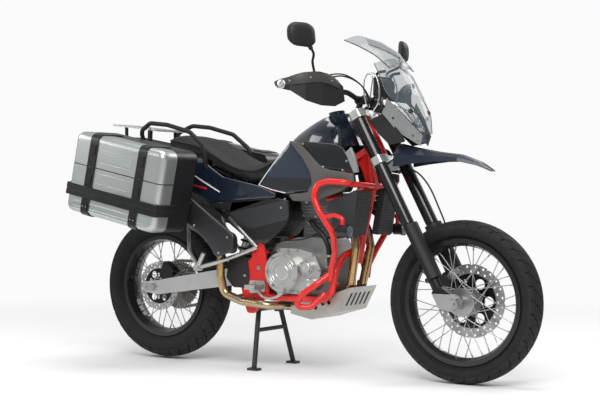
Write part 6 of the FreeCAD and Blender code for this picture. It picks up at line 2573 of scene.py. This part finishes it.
@dataclass
class Silencers:
    """End caps, bands, rivets and heat shields with their screws on both silencers."""

    centre_y: float = 198.0
    shield_y: float = 248.0
    sides: int = 28
    stations: tuple[tuple[float, float, float, float], ...] = (
        (509, 512, 12, 20), (497, 524, 26, 34), (482, 538, 50, 42), (458, 540, 64, 45),
        (431, 569, 56, 46), (359, 623, 52, 46), (237, 710, 50, 45), (60, 828, 46, 42),
        (28, 850, 36, 34))

    def ring(self, share: float, side: int, grow: float) -> list[Vector]:
        """Return the can's outline at a share of its length, grown by a margin in millimetres.

        Args:
            share: Where it lies along the can, from 0 to 1.
            side: 1 on the left, -1 on the right.
            grow: The margin in millimetres.

        Returns:
            The outline.
        """
        place = share * (len(self.stations) - 1)
        k = min(int(place), len(self.stations) - 2)
        t = place - k
        x, z, tall, wide = (a + (b - a) * t for a, b in zip(self.stations[k],
                                                           self.stations[k + 1]))
        (ax, az), (bx, bz) = self.stations[2][:2], self.stations[-1][:2]
        direction = Vector((bx - ax, 0, bz - az)).normalized()
        up = Vector((direction.z, 0, -direction.x))
        return [mm(x, side * self.centre_y, z) + up * ((tall + grow) / 1000 * math.sin(a))
                + Vector((0, (wide + grow) / 1000 * math.cos(a), 0)) for a in angles(self.sides)]

    def shield_face(self, x: float, z: float) -> float:
        """Return the heat shield's distance from the middle plane, bowed round the can."""
        off = (z - 538 - (482 - x) * 0.687) * 0.824
        return self.shield_y - (off / 70) ** 2 * 7

    def band(self, start: float, end: float, side: int, grow: float) -> Mesh:
        """Wrap a band round the can.

        Args:
            start: Its first edge, as a share of the length.
            end: Its other edge.
            side: 1 on the left, -1 on the right.
            grow: How far it stands off, in millimetres.

        Returns:
            The band.
        """
        rings = [self.ring(start, side, grow - 1.2)]
        rings += [self.ring(start + (end - start) * k / 4, side, grow) for k in range(5)]
        rings.append(self.ring(end, side, grow - 1.2))
        return loft(rings)

    def build(self, shop: Workshop) -> None:
        """Make both silencers' details.

        Args:
            shop: Makes the pieces.
        """
        caps, bands, rivets = Mesh(), Mesh(), Mesh()
        for side, _ in SIDES:
            caps.join(self.band(0.86, 0.998, side, 1.6))
            bands.join(self.band(0.82, 0.845, side, 1.8)).join(self.band(0.55, 0.56, side, 1.8))
            for share in (0.9, 0.95):
                points = self.ring(share, side, 1.4)
                middle = sum(points, Vector()) / len(points)
                for j in range(0, self.sides, self.sides // 4):
                    out = points[j] - middle
                    rivets.join(spun(((0.0036, -0.0004), (0.0034, 0.0008), (0.0018, 0.0016)),
                                     points[j], out, 10))
        for side, name in SIDES:
            shield = moulding(((288, 750), (536, 582), (534, 512), (446, 485), (398, 548),
                               (312, 614), (230, 664), (284, 706)), self.shield_face, side, 5, 5,
                              8, 8)
            shop.piece("silencer_shield_" + name, shield, Body.CHASSIS, SILENCER,
                       40)
            screws = Mesh()
            for x, z in ((306, 718), (506, 572), (460, 504), (330, 620)):
                screws.join(cap_screw(mm(x, side * self.shield_face(x, z), z),
                                      Vector((0, side, 0)), 0.0052, 0.003))
            shop.piece("silencer_screws_" + name, screws, Body.CHASSIS, BOLT_STEEL,
                       30)
        shop.piece("silencer_caps", caps, Body.CHASSIS, BLACK_STEEL, 40)
        shop.piece("silencer_bands", bands, Body.CHASSIS, BRUSHED_ALLOY, 40)
        shop.piece("silencer_rivets", rivets, Body.CHASSIS, BOLT_STEEL, 40)
        LOG.info("silencers")


@dataclass(frozen=True)
class RearLens:
    """Red lamp lens in the middle, black stalks and pods outside it."""

    name: str = "rear_lens"
    lens_half: float = 0.0625

    def build(self) -> bpy.types.Material:
        """Make the Blender material.

        Returns:
            The material.
        """
        kit = ShaderKit(self.name)
        _, y, _ = kit.axes()
        outside = y.size().above(self.lens_half)
        flutes = y.waves(900.0)
        red = kit.blend(flutes, (0.24, 0.004, 0.006), (0.42, 0.008, 0.01))
        kit.surface(Base_Color=kit.blend(outside, red, (0.014, 0.014, 0.015)),
                    Roughness=outside * 0.38 + 0.08, Coat_Weight=1.0 - outside,
                    Normal=kit.bump(flutes * (1.0 - outside), 0.0006))
        return kit.material


@dataclass
class Tail:
    """Blank plate, indicator lenses and the tail's inserts at the rear."""

    plate_top: tuple[float, float] = (-318.4, 848)
    plate_foot: tuple[float, float] = (-374.4, 700)
    indicator: Point = (-249.4, 163, 952)

    def plate_spot(self, y: float, share: float, out: float) -> Vector:
        """Return a place on the plate holder's rear face, off it by a few millimetres."""
        (ax, az), (bx, bz) = self.plate_top, self.plate_foot
        return mm(ax + (bx - ax) * share - 0.935 * out, y, az + (bz - az) * share + 0.354 * out)

    def plate(self) -> Mesh:
        """Build the blank number plate with its pressed rim.

        Returns:
            The plate.
        """
        rings = []
        for shrink, out in ((0.0, 0.2), (0.0, 1.6), (0.012, 2.4), (0.03, 2.4), (0.042, 1.6),
                            (0.06, 1.5)):
            half, low, high = 86 - 90 * shrink, 0.97 - shrink, 0.03 + shrink
            ring = rounded_outline(((-half, high), (half, high), (half, low), (-half, low)),
                                   0.05, 3)
            rings.append([self.plate_spot(y, share, out) for y, share in ring])
        return loft(rings)

    def build(self, shop: Workshop) -> None:
        """Make the tail's pieces.

        Args:
            shop: Makes the pieces.
        """
        shop.piece("blank_plate", self.plate(), Body.CHASSIS, PLATE_BLANK, 30)
        lenses = Mesh()
        rims = Mesh()
        for side, _ in SIDES:
            axis = Vector((-1, side * 0.1, 0))
            at = mm(self.indicator[0], side * self.indicator[1], self.indicator[2])
            lenses.join(spun(((0.0196, -0.001), (0.0196, 0.002), (0.017, 0.0055), (0.01, 0.0075),
                              (0.0002, 0.008)), at, axis, 28))
            rims.join(spun(((0.0222, -0.004), (0.0224, 0.0016), (0.0198, 0.0022),
                            (0.0197, -0.001)), at, axis, 28))
        shop.piece("indicator_lenses", lenses, Body.CHASSIS, LAMP_AMBER, 40)
        shop.piece("indicator_rims", rims, Body.CHASSIS, BLACK_PLASTIC, 40)
        screws = Mesh()
        for y in (-60, 60):
            for share in (0.12, 0.88):
                screws.join(cap_screw(self.plate_spot(y, share, 1.4), Vector((-0.935, 0, 0.354)),
                                      0.0045, 0.0026))
        shop.piece("plate_screws", screws, Body.CHASSIS, BOLT_STEEL, 30)
        for side, name in SIDES:
            insert = moulding(((184, 905), (188, 928), (289, 912), (317, 889), (352, 858),
                               (344, 866), (300, 894)), lambda x, z: 153.5 - (z - 890) * 0.12,
                              side, 6, 3, 3, 7)
            shop.piece("tail_insert_" + name, insert, Body.CHASSIS, PANEL_GREY, 40)
        LOG.info("tail")


@dataclass
class RunningGear:
    """Spring, painted shade in the skid plate's slots, arm ends, foot levers, lamp lenses, dash
    screen and bolts.
    """

    spring_low: Point = (405, 0, 422)
    spring_high: Point = (519, 0, 742)
    spring_radius: float = 0.0345
    spring_wire: float = 0.0052
    lamp_at: Point = (1106, 230, 609)

    def spring(self) -> Mesh:
        """Coil the rear spring between its cups.

        Returns:
            The spring.
        """
        low, high = mm(*self.spring_low), mm(*self.spring_high)
        along = (high - low).normalized()
        length = (high - low).length
        side = Vector((0, 1, 0))
        other = along.cross(side)
        path = []
        turns, steps = 7, 22
        start, end = 0.046, length - 0.044
        for k in range(turns * steps + 1):
            a = 2 * math.pi * k / steps
            path.append(low + along * (start + (end - start) * k / (turns * steps))
                        + (side * math.cos(a) + other * math.sin(a)) * self.spring_radius)
        return sweep(path, self.spring_wire, 8)

    def skid_slot_shade(self) -> Mesh:
        """Lay black marks on the skid plate's nose where its slots are: painted shade, standing
        for the dark seen through the holes.

        Returns:
            The painted shade marks.
        """
        shade_marks = Mesh()
        foot, top = Vector((988, 276)), Vector((1035, 366))
        run = (top - foot).normalized()
        out = Vector((run.y, -run.x))
        for y in (-72, -36, 0, 36, 72):
            ring = rounded_outline(((y - 7, 18), (y + 7, 18), (y + 7, 80), (y - 7, 80)), 6.5, 5)
            face = []
            for yy, along in ring:
                spot = foot + run * along + out * 0.1
                face.append(mm(spot.x, yy, spot.y))
            shade_marks.join(slab(face, Vector((out.x, 0, out.y)) * 0.0005))
        return shade_marks

    def lamp_fronts(self, radius: float, rise: float) -> Mesh:
        """Build a domed disc on the front of both auxiliary lamps.

        Args:
            radius: The disc's radius.
            rise: How far it bulges.

        Returns:
            Both discs.
        """
        parts = Mesh()
        x, y, z = self.lamp_at
        for side, _ in SIDES:
            parts.join(spun(((radius, -0.002), (radius, 0.001), (radius * 0.8, rise * 0.6),
                             (radius * 0.4, rise), (0.0002, rise * 1.08)),
                            mm(x, side * y, z), Vector((1, 0, 0)), 32))
        return parts

    def arm_ends(self) -> Mesh:
        """Fit the axle plates and adjuster screws at the swingarm's ends.

        Returns:
            The plates and screws.
        """
        parts = Mesh()
        ring = rounded_outline(((-42, 318), (-42, 350), (24, 352), (24, 314)), 5)
        for side, _ in SIDES:
            parts.join(slab([mm(x, side * 127.6, z) for x, z in ring],
                            Vector((0, side * 0.0034, 0))))
            for x in (-33, 30):
                parts.join(cap_screw(mm(x, side * (130.8 if x < 0 else 128), 334),
                                     Vector((0, side, 0)), 0.0048, 0.0032))
            parts.join(bolt(mm(-50, side * 113, 333), Vector((-1, 0, 0)), 0.0052, 0.009))
            for x in range(-14, 11, 6):
                mark = [mm(a, side * 130.9, z) for a, z in ((x, 344), (x + 1, 344), (x + 1, 349),
                                                            (x, 349))]
                parts.join(slab(mark, Vector((0, side * 0.0005, 0))))
        return parts

    def foot_levers(self) -> Mesh:
        """Bend the brake pedal on the right and the gear lever on the left.

        Returns:
            The levers.
        """
        pedal = pipe(((604, -158, 350), (630, -162, 322), (676, -172, 314), (722, -180, 326),
                      (744, -184, 338)), 0.0058, 12)
        pad = rounded_outline(((736, -204), (764, -204), (764, -166), (736, -166)), 5)
        pedal.join(slab([mm(x, y, 336) for x, y in pad], Vector((0, 0, 0.008))))
        for y in (-196, -185, -174):
            ridge = ((739, y - 2), (761, y - 2), (761, y + 2), (739, y + 2))
            pedal.join(slab([mm(a, b, 343.5) for a, b in ridge], Vector((0, 0, 0.003))))
        lever = pipe(((668, 148, 356), (694, 160, 346), (724, 166, 340), (752, 170, 344)), 0.005,
                     12)
        return pedal.join(lever.join(pipe(((752, 164, 344), (752, 198, 345)), 0.0078, 14)))

    def frame_bolts(self) -> Mesh:
        """Bolt the engine, pivot plates and crash bars.

        Returns:
            The bolts.
        """
        heads = Mesh()
        for side, _ in SIDES:
            for x, z, y in ((530, 405, 141.4), (600, 440, 141.4), (588, 372, 155.2),
                            (622, 362, 155.2)):
                heads.join(bolt(mm(x, side * y, z), Vector((0, side, 0)), 0.0075, 0.008))
        return heads

    def build(self, shop: Workshop) -> None:
        """Make these pieces.

        Args:
            shop: Makes the pieces.
        """
        shop.piece("shock_spring", self.spring(), Body.CHASSIS, BLACK_STEEL, 60)
        # The skid plate's slots are black marks of painted shade, not holes.
        shop.piece("skid_slot_shade", self.skid_slot_shade(), Body.CHASSIS, BLACK_PLASTIC,
                   30)
        shop.piece("arm_ends", self.arm_ends(), Body.CHASSIS, HUB_ALLOY, 30,
                   bevel=0.0006)
        shop.piece("foot_levers", self.foot_levers(), Body.CHASSIS, PEG_ALLOY, 50)
        shop.piece("lamp_lenses", self.lamp_fronts(0.0235, 0.004), Body.CHASSIS, LAMP_GLASS,
                   40)
        pad = rounded_outline(((-54, -30), (54, -30), (50, 30), (-50, 30)), 6)
        shop.piece("dash_screen", slab([mm(1113.8, y, 1207 + z) for y, z in pad],
                                       Vector((-0.0014, 0, 0))), Body.STEERING, DASH_GLASS,
                   30)
        shop.piece("frame_bolts", self.frame_bolts(), Body.CHASSIS, BOLT_STEEL, 30)
        LOG.info("running gear")


# Studio


@dataclass
class Studio:
    """The floor, lights and camera."""

    camera_at: Point = (3951, -4984, 781)
    yaw: float = 32.98
    pitch: float = 0.47
    roll: float = 0.28
    focal: float = 1371.0
    frame_width: float = 600.0
    floor_solid: float = 1.4
    floor_fade: float = 2.6
    sensor: float = 36.0

    def camera(self) -> None:
        """Set the camera at the photograph's angle."""
        yaw, pitch, roll = (math.radians(a) for a in (self.yaw, self.pitch, self.roll))
        ahead = Vector((-math.sin(yaw) * math.cos(pitch), math.cos(yaw) * math.cos(pitch),
                        -math.sin(pitch)))
        right = ahead.cross(Vector((0, 0, 1))).normalized()
        up = right.cross(ahead)
        right, up = (right * math.cos(roll) + up * math.sin(roll),
                     up * math.cos(roll) - right * math.sin(roll))
        data = bpy.data.cameras.new("camera")
        data.sensor_width = self.sensor
        data.lens = self.focal / self.frame_width * self.sensor
        camera = bpy.data.objects.new("camera", data)
        camera.matrix_world = (Matrix.Translation(mm(*self.camera_at))
                               @ Matrix((right, up, -ahead)).transposed().to_4x4())
        bpy.context.scene.collection.objects.link(camera)
        bpy.context.scene.camera = camera

    def lamp(self, name: str, at: Point, towards: Point, size: float, power: float) -> None:
        """Add one soft light.

        Args:
            name: Its name.
            at: Its place in metres.
            towards: The point that it faces.
            size: Its width in metres.
            power: Its power in watts.
        """
        data = bpy.data.lights.new(name, "AREA")
        data.shape = "RECTANGLE"
        data.size = size
        data.size_y = size * 0.6
        data.energy = power
        light = bpy.data.objects.new(name, data)
        light.location = at
        light.rotation_euler = (Vector(towards) - Vector(at)).to_track_quat("-Z", "Y").to_euler()
        bpy.context.scene.collection.objects.link(light)

    def floor(self) -> None:
        """Lay the pale round floor, which fades with distance and so serves every angle."""
        rings = [[Vector((r * math.cos(a), r * math.sin(a), 0)) for a in angles(64)]
                 for r in (0.01, 2.0, 4.0, 6.5)]
        mesh = loft(rings, caps=False)
        data = bpy.data.meshes.new("floor")
        data.from_pydata([tuple(p) for p in mesh.points], [], mesh.faces)
        kit = ShaderKit("pale_floor")
        x, y, _ = kit.axes()
        reach = (x * x + y * y) ** 0.5
        fade = 1.0 - (reach - self.floor_solid) * (1.0 / self.floor_fade)
        kit.surface(Base_Color=kit.blend(kit.noise(2, 3), (0.88, 0.88, 0.88), (0.91, 0.91, 0.91)),
                    Roughness=kit.noise(6, 2) * 0.1 + 0.6, Alpha=fade)
        data.materials.append(kit.material)
        thing = bpy.data.objects.new("floor", data)
        bpy.context.scene.collection.objects.link(thing)

    def world(self) -> None:
        """Light the scene softly from all round, before a plain backdrop."""
        world = bpy.data.worlds.new("studio")
        world.use_nodes = True
        nodes, links = world.node_tree.nodes, world.node_tree.links
        soft = nodes["Background"]
        soft.inputs[0].default_value = (0.92, 0.93, 0.95, 1)
        soft.inputs[1].default_value = 0.42
        plain = nodes.new("ShaderNodeBackground")
        plain.inputs[0].default_value = (0.96, 0.96, 0.96, 1)
        mix = nodes.new("ShaderNodeMixShader")
        links.new(nodes.new("ShaderNodeLightPath").outputs["Is Camera Ray"], mix.inputs[0])
        links.new(soft.outputs[0], mix.inputs[1])
        links.new(plain.outputs[0], mix.inputs[2])
        links.new(mix.outputs[0], nodes["World Output"].inputs[0])
        bpy.context.scene.world = world
        bpy.context.scene.view_settings.view_transform = "Standard"

    def build(self) -> None:
        """Make the whole studio."""
        self.camera()
        self.floor()
        self.lamp("key", (2.2, -3.6, 3.6), (0, 0, 0.6), 3.2, 190)
        self.lamp("fill", (-3.8, -2.6, 2.6), (0, 0, 0.6), 3.0, 75)
        self.lamp("rim", (1.0, 4.2, 3.2), (0, 0, 0.7), 3.0, 60)
        self.lamp("top", (0, 0, 4.6), (0, 0, 0), 3.6, 100)
        self.world()
        LOG.info("studio")


def main() -> None:
    """Build the whole motorcycle round its solid parts."""
    logging.basicConfig(level=logging.INFO, format="%(message)s")
    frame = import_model()
    shop = Workshop()
    dress_solids(shop, frame)
    LOG.info("solid parts")
    Studio().build()
    Tyre("front", Body.FRONT_WHEEL, FRONT_AXLE, 0.3295, 0.056, 0.256, 0.029, 36).build(shop)
    Tyre("rear", Body.REAR_WHEEL, REAR_AXLE, 0.328, 0.071, 0.231, 0.044, 34).build(shop)
    Saddle().build(shop)
    Bodywork().build(shop)
    Panniers().build(shop)
    Nose().build(shop)
    Controls().build(shop)
    Mirrors().build(shop)
    Engine().build(shop)
    Driveline().build(shop)
    WheelFittings("front", Body.FRONT_WHEEL, FRONT_AXLE, 0.15, 0.056, 0.225, LEFT).build(shop)
    WheelFittings("rear", Body.REAR_WHEEL, REAR_AXLE, 0.11, -0.074, 0.2, RIGHT, 0.47).build(shop)
    Brakes().build(shop)
    Silencers().build(shop)
    Tail().build(shop)
    RunningGear().build(shop)


if __name__ == "__main__":
    main()
